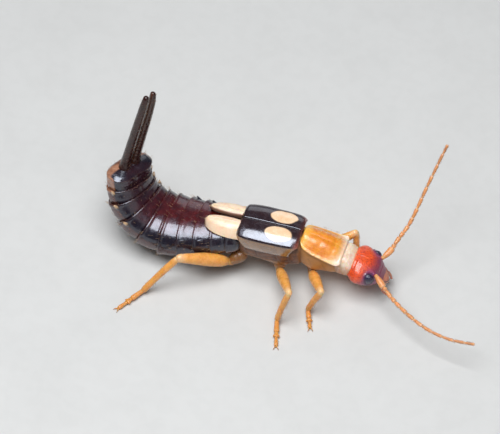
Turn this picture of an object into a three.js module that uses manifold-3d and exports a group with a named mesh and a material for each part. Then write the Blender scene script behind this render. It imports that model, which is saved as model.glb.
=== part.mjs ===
// A male earwig, life size, standing with its abdomen curled up and its forceps in the air.
// Millimetres. +X points to the head, +Y to the insect's left, +Z up, and the feet stand at z = 0.
// Places along the body are measured from the front end of the seam between the wing cases.

import * as THREE from "three";
import { mergeVertices } from "three/addons/utils/BufferGeometryUtils.js";
import Module from "manifold-3d";

const wasm = await Module();
wasm.setup();

const LEFT = 1;
const RIGHT = -1;
const GAP = 0.12;
const FOOT_LEVEL = 0;
const BACK_HEIGHT = 2.72;
const FRONT_SLOPE = 20;

// Middle of the footprint of the whole insect, which becomes the origin
const FOOTPRINT_MIDDLE = new THREE.Vector3(-0.154, 0.16, 0);

// Abdomen, from its root under the wing tips: a row per segment, angles in degrees
const ABDOMEN_ROOT = new THREE.Vector3(-2.5, 0, 1.62);
const ABDOMEN_SEGMENTS = [
  { length: 0.4, wide: 0.92, above: 0.62, below: 0.56, curl: -8, lean: 0, twist: 0 },
  { length: 0.59, wide: 1.07, above: 0.74, below: 0.68, curl: -5.6, lean: 0, twist: 0 },
  { length: 0.66, wide: 1.23, above: 0.82, below: 0.8, curl: -1.4, lean: 0, twist: 0 },
  { length: 0.72, wide: 1.34, above: 0.88, below: 0.88, curl: 5.4, lean: 0, twist: 0 },
  { length: 0.76, wide: 1.4, above: 0.9, below: 0.92, curl: 13.3, lean: 3.1, twist: 1 },
  { length: 0.76, wide: 1.38, above: 0.88, below: 0.9, curl: 18.7, lean: 6.2, twist: 1.5 },
  { length: 0.74, wide: 1.29, above: 0.84, below: 0.84, curl: 20.1, lean: 7.7, twist: 2.1 },
  { length: 0.66, wide: 1.18, above: 0.78, below: 0.76, curl: 18.4, lean: 7.7, twist: 2.6 },
  { length: 0.55, wide: 1.1, above: 0.7, below: 0.68, curl: 16, lean: 4.6, twist: 2.1 },
  { length: 0.62, wide: 1.03, above: 0.56, below: 0.54, curl: 14.3, lean: -1, twist: 1 },
];
const SEGMENT_SIDES = 22;
const SEGMENT_SQUARENESS = 2.3;
const LAST_SEGMENT_SQUARENESS = 2.8;
const PATH_STEPS = 20;
// How a segment swells from the rim under its neighbour to its own rear rim
const SEGMENT_SWELL = [
  [0, 0.9],
  [0.16, 0.965],
  [0.55, 1],
  [0.88, 1.03],
  [1, 1.01],
];

// Bumps on the sides: which segments, share of the length, angle up from the side, and radius
const SIDE_BUMPS = [
  { segments: [2, 3], share: 0.62, angle: 34, radius: 0.17 },
  { segments: [6, 7, 8], share: 0.78, angle: 12, radius: 0.13 },
];

const FORCEPS_LENGTH = 4.55;
// Share of the length, distance from the midline, rise to the back, and radius
const FORCEPS_ROWS = [
  [0, 0.31, 0, 0.25],
  [0.06, 0.31, 0.02, 0.25],
  [0.16, 0.31, 0.07, 0.24],
  [0.35, 0.32, 0.2, 0.23],
  [0.6, 0.32, 0.38, 0.22],
  [0.78, 0.315, 0.5, 0.2],
  [0.9, 0.31, 0.57, 0.17],
  [0.97, 0.29, 0.6, 0.12],
  [1, 0.27, 0.6, 0.06],
];
// Teeth stand on the upper inner edge: share of the length, height over the branch, root radius
const FORCEPS_TEETH = [
  { at: 0.1, height: 0.06, radius: 0.12 },
  { at: 0.62, height: 0.07, radius: 0.11 },
];
const TOOTH_ANGLE = 50;
const TOOTH_TIP_RADIUS = 0.03;
// Share of the branch's radius at which a tooth starts, inside the branch
const TOOTH_ROOT = 0.3;
const FORCEPS_SIDES = 10;

const CASE_SEAM = 0.06;
// The first points of a wing case's profile lie on the back, and those up to the second number outside
const CASE_BACK_POINTS = 4;
const CASE_OUTER_POINTS = 7;
// Wing cases: the profile of one side, as distance from the midline and height over the back
const CASE_PROFILE = [
  [CASE_SEAM, 0],
  [0.3, 0.02],
  [0.52, -0.01],
  [0.72, -0.1],
  [0.86, -0.26],
  [0.93, -0.46],
  [0.93, -0.68],
  [0.87, -0.92],
  [0.54, -0.9],
  [0.5, -0.6],
  [0.42, -0.46],
  [CASE_SEAM, -0.46],
];
// Place along the body, share of the full width, and drop of the back
const CASE_ROWS = [
  [-2.5, 0.82, -0.04],
  [-2.36, 0.94, -0.02],
  [-1.9, 1, 0],
  [-1, 1, 0],
  [-0.3, 0.96, 0],
  [0, 0.86, -0.04],
];
// Wing tips: the profile as shares of the width and of the thickness, with the raised main vein
const TIP_PROFILE = [
  [0, -0.2],
  [0.1, -0.03],
  [0.2, 0.02],
  [0.27, 0.1],
  [0.34, 0.02],
  [0.56, -0.05],
  [0.78, -0.28],
  [0.93, -0.6],
  [1, -1],
  [0.9, -1.15],
  [0.55, -1],
  [0.12, -1],
  [0, -0.8],
];
// Points of the profile over this share of the thickness belong to its upper side
const TIP_UPPER_SIDE = -0.5;
const TIP_RISE = -0.06;
// Place along the body, inner and outer edge, drop of the top, thickness
const TIP_ROWS = [
  [-2.62, 0.1, 0.84, 0, 0.42],
  [-2.9, 0.09, 0.88, 0, 0.42],
  [-3.3, 0.09, 0.84, -0.01, 0.4],
  [-3.62, 0.12, 0.74, -0.03, 0.36],
  [-3.84, 0.2, 0.6, -0.06, 0.32],
  [-3.94, 0.31, 0.46, -0.09, 0.28],
];

// Middle and hind thorax: place along the body, half width, top and bottom
const THORAX_ROWS = [
  [-2.4, 0.74, 2.2, 1.08],
  [-2, 0.84, 2.24, 0.98],
  [-1.3, 0.88, 2.26, 0.92],
  [-0.6, 0.85, 2.24, 0.92],
  [0, 0.72, 2.18, 1],
];
const PROTHORAX_ROWS = [
  [0.12, 0.6, 2.16, 1.06],
  [0.6, 0.64, 2.05, 0.98],
  [1.2, 0.6, 1.9, 0.98],
  [1.68, 0.46, 1.74, 1.08],
];
const NECK_ROWS = [
  [1.8, 0.44, 1.82, 1.1],
  [1.95, 0.43, 1.8, 1.1],
];

// Shield over the prothorax: distance along it, half width, rise of its middle, drop of its edges
const SHIELD_START = new THREE.Vector3(0.12, 0, BACK_HEIGHT - 0.02);
const SHIELD_ROWS = [
  [0, 0.3, 0, 0.22],
  [0.06, 0.46, 0.01, 0.27],
  [0.2, 0.6, 0.03, 0.3],
  [0.5, 0.7, 0.07, 0.3],
  [1, 0.75, 0.11, 0.27],
  [1.45, 0.78, 0.1, 0.22],
  [1.7, 0.8, 0.05, 0.16],
  [1.78, 0.74, 0.02, 0.14],
];
// Places across the shield as shares of the half width, with the share of the rise and a lift
const SHIELD_PROFILE = [
  [-1, 0, 0.05],
  [-0.82, 0, -0.03],
  [-0.5, 0.75, 0],
  [0, 1, 0],
  [0.5, 0.75, 0],
  [0.82, 0, -0.03],
  [1, 0, 0.05],
];
const SHIELD_THICKNESS = 0.45;
const SHIELD_BASE_WIDTH = 0.94;

// Head, measured along its own axis: half width, height above and below that axis
const HEAD_BACK = new THREE.Vector3(2.08, 0, 1.54);
const HEAD_ROWS = [
  [0, 0.5, 0.36, 0.34],
  [0.08, 0.7, 0.47, 0.43],
  [0.3, 0.86, 0.54, 0.48],
  [0.6, 0.87, 0.55, 0.49],
  [0.86, 0.78, 0.5, 0.47],
  [1.08, 0.64, 0.38, 0.43],
  [1.24, 0.5, 0.24, 0.38],
  [1.36, 0.38, 0.12, 0.33],
];
const EYE = { along: 0.84, out: 0.66, rise: 0.09, length: 0.2, depth: 0.17, height: 0.21 };
const ANTENNA_SOCKET = { along: 1.1, out: 0.5, rise: 0.38 };
const LIP_START = 1.48;
const LIP_ROWS = [
  [LIP_START, 0.36, 0.08, 0.3],
  [1.56, 0.35, 0.04, 0.3],
  [1.66, 0.27, -0.03, 0.27],
  [1.72, 0.14, -0.08, 0.24],
];
// Palps: distance along the head's axis, out from the midline and up, from root to tip
const PALP_JOINTS = [
  [1.54, 0.22, -0.18],
  [1.57, 0.42, -0.27],
  [1.66, 0.5, -0.36],
  [1.78, 0.48, -0.45],
  [1.88, 0.42, -0.52],
];
const PALP_RADII = [0.16, 0.16, 0.14, 0.12, 0.06];

// Feelers: lengths of the joints from the base, as shares, and the way each feeler runs
const FEELER_JOINTS = [3, 0.8, 2, 1.4, 1.7, 2, 2.3, 2.5, 2.6, 2.7, 2.7, 2.6, 2.3];
const FEELER_BASE_RADIUS = 0.23;
const FEELER_TIP_RADIUS = 0.12;
const FEELER_SIDES = 8;
const FEELER_TAPER = 1.4;
// Each joint is slim at its root and full at this share of its length
const JOINT_WAIST = 0.78;
const JOINT_WAIST_PLACE = 0.04;
const JOINT_FULL_PLACE = 0.7;
const FEELER_END = 0.4;
const FEELER_WAYS = {
  right: [
    [3.98, -1.1, 1.26],
    [4.8, -1.68, 1.19],
    [5.8, -2.2, 1.14],
    [6.8, -2.5, 1.2],
    [7.9, -2.62, 1.4],
  ],
  left: [
    [3.46, 0.85, 1.64],
    [3.62, 1.3, 1.83],
    [3.91, 1.96, 2.16],
    [4.31, 3.2, 3.32],
    [4.56, 3.96, 4.02],
    [4.76, 4.44, 4.58],
  ],
};

// Legs: the places of the joints, and the size of each leg against the hind ones
const ANKLE_HEIGHT = 0.25;
const TOE_HEIGHT = 0.13;
const LEGS = [
  {
    name: "front_right",
    hip: [0.6, -0.3, 1.12],
    root: [0.56, -0.52, 0.86],
    knee: [1.35, -1.86, 1.44],
    ankle: [0.82, -1.9, ANKLE_HEIGHT],
    toe: [1.13, -2.67, TOE_HEIGHT],
    scale: 0.9,
  },
  {
    name: "middle_right",
    hip: [-0.76, -0.46, 1.1],
    root: [-0.72, -0.76, 0.86],
    knee: [0.2, -2.5, 1.74],
    ankle: [-0.22, -2.76, ANKLE_HEIGHT],
    toe: [0.09, -3.95, TOE_HEIGHT],
    scale: 0.95,
  },
  {
    name: "hind_right",
    hip: [-2.25, -0.5, 1.1],
    root: [-2.74, -0.92, 0.84],
    knee: [-4.58, -1.99, 1.66],
    ankle: [-5.79, -2.85, ANKLE_HEIGHT],
    toe: [-6.51, -3.93, TOE_HEIGHT],
    scale: 1,
  },
  {
    name: "front_left",
    hip: [0.6, 0.3, 1.12],
    root: [0.56, 0.52, 0.86],
    knee: [1.92, 1.24, 1.78],
    ankle: [1.98, 1.06, ANKLE_HEIGHT],
    toe: [2.74, 0.9, TOE_HEIGHT],
    scale: 0.9,
  },
  {
    name: "middle_left",
    hip: [-0.76, 0.46, 1.1],
    root: [-0.72, 0.76, 0.86],
    knee: [-2.75, 1.75, 1],
    ankle: [-4.1, 1.95, ANKLE_HEIGHT],
    toe: [-5.28, 2.25, TOE_HEIGHT],
    scale: 0.95,
  },
  {
    name: "hind_left",
    hip: [-2.25, 0.5, 1.1],
    root: [-2.74, 0.92, 0.84],
    knee: [-4.85, 1.52, 0.66],
    ankle: [-6.7, 2.02, ANKLE_HEIGHT],
    toe: [-7.8, 2.55, TOE_HEIGHT],
    scale: 1,
  },
];
// Share of the part's length, half width and half depth
const COXA_ROWS = [
  [0, 0.3, 0.34],
  [0.5, 0.34, 0.36],
  [1, 0.24, 0.26],
];
const FEMUR_ROWS = [
  [0, 0.2, 0.2],
  [0.1, 0.25, 0.25],
  [0.35, 0.28, 0.3],
  [0.7, 0.25, 0.28],
  [1, 0.22, 0.24],
];
const TIBIA_ROWS = [
  [0, 0.22, 0.22],
  [0.2, 0.23, 0.24],
  [0.7, 0.23, 0.23],
  [1, 0.23, 0.23],
];
// Foot joints: share of the foot's length where each starts and ends, with its two end radii
const FOOT_JOINTS = [
  [0, 0.5, 0.2, 0.22],
  [0.46, 0.68, 0.18, 0.25],
  [0.66, 1, 0.16, 0.17],
];
const FOOT_FULL_PLACE = 0.75;
const FOOT_END = 0.8;
const CLAW = { length: 0.2, radius: 0.07, spread: 28, tipHeight: 0.05, tipRadius: 0.025 };
const JOINT_BALLS = { root: 0.25, knee: 0.24, ankle: 0.22 };

// Sides and squareness of the rounded sections of the body
const BODY_SIDES = 20;
const BODY_SQUARENESS = 2.4;
const NECK_SIDES = 14;
const NECK_SQUARENESS = 2;
const HEAD_SIDES = 20;
const HEAD_SQUARENESS = 2.2;
const LIMB_SIDES = 8;
const SPIKE_SIDES = 6;
const EYE_DETAIL = 2;
const EYE_GAP = 0.6 * GAP;
const SEGMENTS_UNDER_TIPS = 3;
const FLOOR_REACH = 20;

// Roots of the body pieces, from which their own places are measured
const THORAX_ROOT = new THREE.Vector3(-1, 0, 1.6);
const PROTHORAX_ROOT = new THREE.Vector3(0.12, 0, 1.6);
const NECK_ROOT = new THREE.Vector3(1.8, 0, 1.4);
const WING_CASE_ROOT = new THREE.Vector3(0, 0, BACK_HEIGHT);
const WING_TIP_ROOT = new THREE.Vector3(-2.6, 0, BACK_HEIGHT);

// Points closer than this are one point, and detail under the second distance is dropped
const WELD_DISTANCE = 1e-5;
const MERGE_DISTANCE = 0.006;

// Colours and roughness
const LOOKS = {
  head: { color: 0xb5381c, roughness: 0.3 },
  eye: { color: 0x11131d, roughness: 0.15 },
  mouth: { color: 0x9a4a30, roughness: 0.4 },
  feeler: { color: 0xd9a071, roughness: 0.5 },
  neck: { color: 0xe6d2b8, roughness: 0.5 },
  shield: { color: 0xe08a2c, roughness: 0.35 },
  thorax: { color: 0x9a6a3c, roughness: 0.5 },
  case: { color: 0x2a1512, roughness: 0.3 },
  tip: { color: 0xf2dcb8, roughness: 0.4 },
  abdomen: { color: 0x3a1013, roughness: 0.2 },
  forceps: { color: 0x3c1a14, roughness: 0.3 },
  leg: { color: 0xd98f2e, roughness: 0.4 },
};

function vector([x, y, z]) {
  return new THREE.Vector3(x, y, z);
}

// The values of a table of rows at one place, on a smooth curve through the rows
function readRows(rows, at) {
  const last = rows.length - 1;
  const place = THREE.MathUtils.clamp(at, rows[0][0], rows[last][0]);
  let row = 0;
  while (row < last - 1 && place > rows[row + 1][0]) {
    row += 1;
  }
  const span = rows[row + 1][0] - rows[row][0];
  const t = (place - rows[row][0]) / span;
  const slope = (index, column) => {
    const before = rows[Math.max(index - 1, 0)];
    const after = rows[Math.min(index + 1, last)];
    return (after[column] - before[column]) / (after[0] - before[0]);
  };
  return rows[row].slice(1).map((start, index) => {
    const column = index + 1;
    const end = rows[row + 1][column];
    const startPull = slope(row, column) * span;
    const endPull = slope(row + 1, column) * span;
    const square = t * t;
    const cube = square * t;
    return (
      start * (2 * cube - 3 * square + 1) +
      startPull * (cube - 2 * square + t) +
      end * (3 * square - 2 * cube) +
      endPull * (cube - square)
    );
  });
}

// A rounded section; a power over 2 squares it off
function roundSection(half, above, below, sides, power = 2) {
  return Array.from({ length: sides }, (_, index) => {
    const angle = (index / sides) * Math.PI * 2;
    const across = Math.cos(angle);
    const rise = Math.sin(angle);
    const reach = (value) => Math.sign(value) * Math.abs(value) ** (2 / power);
    return new THREE.Vector2(half * reach(across), (rise > 0 ? above : below) * reach(rise));
  });
}

// A frame gives a section its place: the section's x runs across and its y runs up
function placeRing(section, frame) {
  const points = section.map((point) =>
    frame.origin
      .clone()
      .addScaledVector(frame.across, point.x)
      .addScaledVector(frame.up, point.y),
  );
  return { section, points };
}

// The triangles that fill a section, turned the way its points run
function capFaces(section) {
  const faces = THREE.ShapeUtils.triangulateShape(section, []);
  if (!THREE.ShapeUtils.isClockWise(section)) {
    return faces;
  }
  return faces.map(([a, b, c]) => [a, c, b]);
}

// A closed skin over a run of rings that all have the same number of points
function skin(rings) {
  const sides = rings[0].points.length;
  const faces = [];
  for (let ring = 0; ring + 1 < rings.length; ring += 1) {
    for (let side = 0; side < sides; side += 1) {
      const next = (side + 1) % sides;
      const a = ring * sides + side;
      const b = ring * sides + next;
      faces.push(a, b, b + sides);
      faces.push(a, b + sides, a + sides);
    }
  }
  const lastStart = (rings.length - 1) * sides;
  for (const [a, b, c] of capFaces(rings[0].section)) {
    faces.push(a, c, b);
  }
  for (const [a, b, c] of capFaces(rings.at(-1).section)) {
    faces.push(lastStart + a, lastStart + b, lastStart + c);
  }
  const geometry = new THREE.BufferGeometry();
  geometry.setFromPoints(rings.flatMap((ring) => ring.points));
  geometry.setIndex(faces);
  return solidOf(geometry);
}

function solidOf(geometry) {
  const bare = geometry.clone();
  bare.deleteAttribute("normal");
  bare.deleteAttribute("uv");
  const merged = mergeVertices(bare, WELD_DISTANCE);
  const vertProperties = new Float32Array(merged.attributes.position.array);
  const triVerts = new Uint32Array(merged.index.array);
  const made = new wasm.Manifold(new wasm.Mesh({ numProp: 3, vertProperties, triVerts }));
  if (made.volume() > 0) {
    return made;
  }
  for (let face = 0; face < triVerts.length; face += 3) {
    [triVerts[face + 1], triVerts[face + 2]] = [triVerts[face + 2], triVerts[face + 1]];
  }
  return new wasm.Manifold(new wasm.Mesh({ numProp: 3, vertProperties, triVerts }));
}

function fuse(solids) {
  return solids.reduce((whole, piece) => whole.add(piece));
}

function cut(solid, others) {
  return others.reduce((rest, other) => rest.subtract(other), solid);
}

// The largest closed surface of a solid, which drops loose scraps and sealed hollows
function largestBody(solid) {
  const bodies = solid.decompose();
  return bodies.reduce((best, body) => (body.volume() > best.volume() ? body : best));
}

function geometryOf(solid) {
  const mesh = largestBody(solid.simplify(MERGE_DISTANCE)).getMesh();
  const geometry = new THREE.BufferGeometry();
  const positions = new THREE.BufferAttribute(new Float32Array(mesh.vertProperties), 3);
  geometry.setAttribute("position", positions);
  geometry.setIndex(new THREE.BufferAttribute(new Uint32Array(mesh.triVerts), 1));
  return geometry;
}

function box(low, high) {
  const size = high.clone().sub(low);
  const geometry = new THREE.BoxGeometry(size.x, size.y, size.z);
  const middle = low.clone().add(high).multiplyScalar(0.5);
  geometry.translate(middle.x, middle.y, middle.z);
  return solidOf(geometry);
}

function ball(middle, radii, detail = 1) {
  const geometry = new THREE.IcosahedronGeometry(1, detail);
  geometry.scale(radii.x, radii.y, radii.z);
  geometry.translate(middle.x, middle.y, middle.z);
  return solidOf(geometry);
}

function evenBall(middle, radius, detail = 1) {
  return ball(middle, new THREE.Vector3(radius, radius, radius), detail);
}

// A level frame across the body at one place
function crossFrame(x, z = 0, side = LEFT) {
  return {
    origin: new THREE.Vector3(x, 0, z),
    across: new THREE.Vector3(0, side, 0),
    up: new THREE.Vector3(0, 0, 1),
  };
}

// A frame that moves down and forward along the slope of the front of the body
function slopedFrame(start, distance) {
  const slope = THREE.MathUtils.degToRad(FRONT_SLOPE);
  const forward = new THREE.Vector3(Math.cos(slope), 0, -Math.sin(slope));
  return {
    origin: start.clone().addScaledVector(forward, distance),
    across: new THREE.Vector3(0, 1, 0),
    up: new THREE.Vector3(Math.sin(slope), 0, Math.cos(slope)),
    forward,
  };
}

function slopedPoint(start, distance, out, rise) {
  const frame = slopedFrame(start, distance);
  return frame.origin.addScaledVector(frame.across, out).addScaledVector(frame.up, rise);
}

// How far the first or last row of a table moves outward when the piece grows
function endPush(rows, index, grow) {
  if (index === 0) {
    return -grow;
  }
  return index === rows.length - 1 ? grow : 0;
}

// A level body piece from a table of half width, top and bottom
function levelBody(rows, sides, power, grow = 0) {
  const rings = rows.map(([x, half, top, bottom], index) => {
    const middle = (top + bottom) / 2;
    const reach = (top - bottom) / 2 + grow;
    const section = roundSection(half + grow, reach, reach, sides, power);
    return placeRing(section, crossFrame(x + endPush(rows, index, grow), middle));
  });
  return skin(rings);
}

// The middle line of the abdomen, with the frame that its curl, lean and twist give at each place
function abdomenPath() {
  const turn = new THREE.Quaternion();
  const rearward = new THREE.Matrix4().makeBasis(
    new THREE.Vector3(-1, 0, 0),
    new THREE.Vector3(0, -1, 0),
    new THREE.Vector3(0, 0, 1),
  );
  turn.setFromRotationMatrix(rearward);
  const place = ABDOMEN_ROOT.clone();
  const frames = [];
  const keep = () => {
    frames.push({
      origin: place.clone(),
      along: new THREE.Vector3(1, 0, 0).applyQuaternion(turn),
      across: new THREE.Vector3(0, -1, 0).applyQuaternion(turn),
      up: new THREE.Vector3(0, 0, 1).applyQuaternion(turn),
    });
  };
  keep();
  for (const segment of ABDOMEN_SEGMENTS) {
    const share = 1 / PATH_STEPS;
    const bend = new THREE.Quaternion().setFromEuler(
      new THREE.Euler(
        -THREE.MathUtils.degToRad(segment.twist) * share,
        -THREE.MathUtils.degToRad(segment.curl) * share,
        -THREE.MathUtils.degToRad(segment.lean) * share,
      ),
    );
    for (let step = 0; step < PATH_STEPS; step += 1) {
      turn.multiply(bend);
      const along = new THREE.Vector3(1, 0, 0).applyQuaternion(turn);
      place.addScaledVector(along, segment.length * share);
      keep();
    }
  }
  return frames;
}

const abdomenFrames = abdomenPath();
const abdomenEnd = abdomenFrames.at(-1);

// The frame at a share of one segment's length, moved along by a short distance
function segmentFrame(index, share, push = 0) {
  const frame = abdomenFrames[Math.round((index + share) * PATH_STEPS)];
  return { ...frame, origin: frame.origin.clone().addScaledVector(frame.along, push) };
}

function segmentSize(index, share) {
  const here = ABDOMEN_SEGMENTS[index];
  const after = ABDOMEN_SEGMENTS[Math.min(index + 1, ABDOMEN_SEGMENTS.length - 1)];
  const before = ABDOMEN_SEGMENTS[Math.max(index - 1, 0)];
  const blend = (key) => {
    const start = (before[key] + here[key]) / 2;
    const end = (after[key] + here[key]) / 2;
    return THREE.MathUtils.lerp(start, end, share);
  };
  return { wide: blend("wide"), above: blend("above"), below: blend("below") };
}

function abdomenSegment(index) {
  const last = index === ABDOMEN_SEGMENTS.length - 1;
  const power = last ? LAST_SEGMENT_SQUARENESS : SEGMENT_SQUARENESS;
  const rings = SEGMENT_SWELL.map(([share, swell], row) => {
    const size = segmentSize(index, share);
    const push = endPush(SEGMENT_SWELL, row, -GAP / 2);
    const section = roundSection(
      size.wide * swell,
      size.above * swell,
      size.below * swell,
      SEGMENT_SIDES,
      power,
    );
    return placeRing(section, segmentFrame(index, share, push));
  });
  return skin(rings);
}

function segmentBumps(index) {
  return SIDE_BUMPS.filter(({ segments }) => segments.includes(index)).flatMap((bump) => {
    const size = segmentSize(index, bump.share);
    const frame = segmentFrame(index, bump.share);
    const angle = THREE.MathUtils.degToRad(bump.angle);
    return [LEFT, RIGHT].map((side) => {
      const middle = frame.origin
        .clone()
        .addScaledVector(frame.across, side * size.wide * Math.cos(angle))
        .addScaledVector(frame.up, size.above * Math.sin(angle));
      return evenBall(middle, bump.radius);
    });
  });
}

function forcepsBranch(side) {
  const frameAt = (share) => {
    const [out, rise, radius] = readRows(FORCEPS_ROWS, share);
    const origin = abdomenEnd.origin
      .clone()
      .addScaledVector(abdomenEnd.along, GAP / 2 + share * FORCEPS_LENGTH)
      .addScaledVector(abdomenEnd.across, side * out)
      .addScaledVector(abdomenEnd.up, rise);
    return { origin, across: abdomenEnd.across, up: abdomenEnd.up, radius };
  };
  const rings = FORCEPS_ROWS.map(([share]) => {
    const frame = frameAt(share);
    return placeRing(roundSection(frame.radius, frame.radius, frame.radius, FORCEPS_SIDES), frame);
  });
  const angle = THREE.MathUtils.degToRad(TOOTH_ANGLE);
  const outward = abdomenEnd.across
    .clone()
    .multiplyScalar(-side * Math.cos(angle))
    .addScaledVector(abdomenEnd.up, Math.sin(angle));
  const teeth = FORCEPS_TEETH.map((tooth) => {
    const { origin, radius } = frameAt(tooth.at);
    const start = origin.clone().addScaledVector(outward, radius * TOOTH_ROOT);
    const end = origin.clone().addScaledVector(outward, radius + tooth.height);
    return spike(start, end, tooth.radius, TOOTH_TIP_RADIUS, abdomenEnd.along);
  });
  return fuse([skin(rings), ...teeth]);
}

// A straight round piece that narrows from one end to the other
function spike(from, to, startRadius, endRadius, hint) {
  const rows = [
    [0, startRadius, startRadius],
    [1, endRadius, endRadius],
  ];
  return limb(from, to, rows, hint, SPIKE_SIDES);
}

// A straight piece from one joint to the next; its flat side faces along the hint
function limb(from, to, rows, hint, sides = LIMB_SIDES) {
  const along = to.clone().sub(from).normalize();
  const across = new THREE.Vector3().crossVectors(hint, along).normalize();
  const up = new THREE.Vector3().crossVectors(along, across);
  const rings = rows.map(([share, half, depth]) => {
    const origin = from.clone().lerp(to, share);
    return placeRing(roundSection(half, depth, depth, sides), { origin, across, up });
  });
  return skin(rings);
}

function scaledRows(rows, scale) {
  return rows.map(([share, half, depth]) => [share, half * scale, depth * scale]);
}

function leg({ hip, root, knee, ankle, toe, scale }) {
  const [hipPoint, rootPoint, kneePoint, anklePoint, toePoint] = [hip, root, knee, ankle, toe].map(
    vector,
  );
  const upward = new THREE.Vector3(0, 0, 1);
  const pieces = [
    limb(hipPoint, rootPoint, scaledRows(COXA_ROWS, scale), new THREE.Vector3(1, 0, 0)),
    evenBall(rootPoint, JOINT_BALLS.root * scale),
    limb(rootPoint, kneePoint, scaledRows(FEMUR_ROWS, scale), upward),
    evenBall(kneePoint, JOINT_BALLS.knee * scale),
    limb(kneePoint, anklePoint, scaledRows(TIBIA_ROWS, scale), upward),
    evenBall(anklePoint, JOINT_BALLS.ankle),
  ];
  for (const [start, end, startRadius, endRadius] of FOOT_JOINTS) {
    const from = anklePoint.clone().lerp(toePoint, start);
    const to = anklePoint.clone().lerp(toePoint, end);
    const rows = [
      [0, startRadius, startRadius],
      [FOOT_FULL_PLACE, endRadius, endRadius],
      [1, endRadius * FOOT_END, endRadius * FOOT_END],
    ];
    pieces.push(limb(from, to, rows, upward));
  }
  const forward = toePoint.clone().sub(anklePoint).setZ(0).normalize();
  for (const side of [LEFT, RIGHT]) {
    const turn = THREE.MathUtils.degToRad(CLAW.spread * side);
    const way = forward.clone().applyAxisAngle(upward, turn);
    const tip = toePoint.clone().addScaledVector(way, CLAW.length).setZ(CLAW.tipHeight);
    pieces.push(spike(toePoint, tip, CLAW.radius, CLAW.tipRadius, upward));
  }
  return fuse(pieces);
}

function wingCase(side, grow = 0) {
  const rings = CASE_ROWS.map(([x, share, drop], index) => {
    const section = CASE_PROFILE.map(([out, rise], point) => {
      const seam = out === CASE_SEAM;
      const outer = !seam && point < CASE_OUTER_POINTS;
      const upward = point < CASE_BACK_POINTS ? grow : -grow;
      return new THREE.Vector2(
        (seam ? out : out * share) + (outer ? grow : -grow),
        rise + drop + upward,
      );
    });
    return placeRing(section, crossFrame(x + endPush(CASE_ROWS, index, grow), BACK_HEIGHT, side));
  });
  return skin(rings);
}

function wingTip(side, grow = 0) {
  const rings = TIP_ROWS.map(([x, inner, outer, drop, thick], index) => {
    const section = TIP_PROFILE.map(([share, rise]) => {
      const out = THREE.MathUtils.lerp(inner - grow, outer + grow, share);
      return new THREE.Vector2(out, rise * thick + (rise > TIP_UPPER_SIDE ? grow : -grow));
    });
    const place = x - endPush(TIP_ROWS, index, grow);
    return placeRing(section, crossFrame(place, BACK_HEIGHT + TIP_RISE + drop, side));
  });
  return skin(rings);
}

function shield(grow = 0) {
  const rings = SHIELD_ROWS.map(([distance, half, rise, drop], index) => {
    const top = SHIELD_PROFILE.map(([share, riseShare, lift]) => {
      const height = rise * riseShare + lift - drop * share * share;
      return new THREE.Vector2(share * (half + grow), height + grow);
    });
    const base = SHIELD_PROFILE.map(([share]) => {
      const height = -SHIELD_THICKNESS - drop * share * share;
      return new THREE.Vector2(share * (half * SHIELD_BASE_WIDTH + grow), height - grow);
    });
    const place = distance + endPush(SHIELD_ROWS, index, grow);
    return placeRing([...base, ...top.reverse()], slopedFrame(SHIELD_START, place));
  });
  return skin(rings);
}

function headShell(rows, grow = 0) {
  const rings = rows.map(([distance, half, above, below], index) => {
    const section = roundSection(
      half + grow,
      above + grow,
      below + grow,
      HEAD_SIDES,
      HEAD_SQUARENESS,
    );
    return placeRing(section, slopedFrame(HEAD_BACK, distance + endPush(rows, index, grow)));
  });
  return skin(rings);
}

function eyeMiddle(side) {
  return slopedPoint(HEAD_BACK, EYE.along, side * EYE.out, EYE.rise);
}

function eye(side, grow = 0) {
  const radii = new THREE.Vector3(EYE.length + grow, EYE.depth + grow, EYE.height + grow);
  return ball(eyeMiddle(side), radii, EYE_DETAIL);
}

function mouthparts() {
  const lip = headShell(LIP_ROWS);
  const palps = [LEFT, RIGHT].flatMap((side) => {
    const joints = PALP_JOINTS.map(([distance, out, rise]) =>
      slopedPoint(HEAD_BACK, distance, side * out, rise),
    );
    const upward = new THREE.Vector3(0, 0, 1);
    return joints
      .slice(1)
      .map((end, index) =>
        spike(joints[index], end, PALP_RADII[index], PALP_RADII[index + 1], upward),
      );
  });
  return fuse([lip, ...palps]);
}

function feelerRoot(side) {
  const { along, out, rise } = ANTENNA_SOCKET;
  return slopedPoint(HEAD_BACK, along, side * out, rise);
}

// A feeler is a run of joints, each slim at its root and fuller towards its end
function feeler(side, way) {
  const curve = new THREE.CatmullRomCurve3([feelerRoot(side), ...way.map(vector)]);
  const total = FEELER_JOINTS.reduce((sum, length) => sum + length);
  const upward = new THREE.Vector3(0, 0, 1);
  const ringAt = (share, radius) => {
    const origin = curve.getPointAt(share);
    const along = curve.getTangentAt(share);
    const across = new THREE.Vector3().crossVectors(upward, along).normalize();
    const up = new THREE.Vector3().crossVectors(along, across);
    return placeRing(roundSection(radius, radius, radius, FEELER_SIDES), { origin, across, up });
  };
  let done = 0;
  const rings = FEELER_JOINTS.flatMap((length) => {
    const start = done / total;
    const end = (done + length) / total;
    done += length;
    const taper = start ** FEELER_TAPER;
    const full = THREE.MathUtils.lerp(FEELER_BASE_RADIUS, FEELER_TIP_RADIUS, taper);
    return [
      ringAt(THREE.MathUtils.lerp(start, end, JOINT_WAIST_PLACE), full * JOINT_WAIST),
      ringAt(THREE.MathUtils.lerp(start, end, JOINT_FULL_PLACE), full),
    ];
  });
  return skin([...rings, ringAt(1, FEELER_TIP_RADIUS * FEELER_END)]);
}

const insect = new THREE.Group();

// A named piece whose own origin is at its root
function addPiece(name, solid, look, root) {
  const geometry = geometryOf(solid);
  geometry.translate(-root.x, -root.y, -root.z);
  geometry.computeVertexNormals();
  const material = new THREE.MeshStandardMaterial({ ...LOOKS[look], metalness: 0 });
  const mesh = new THREE.Mesh(geometry, material);
  mesh.name = name;
  mesh.position.copy(root);
  insect.add(mesh);
}

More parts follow.
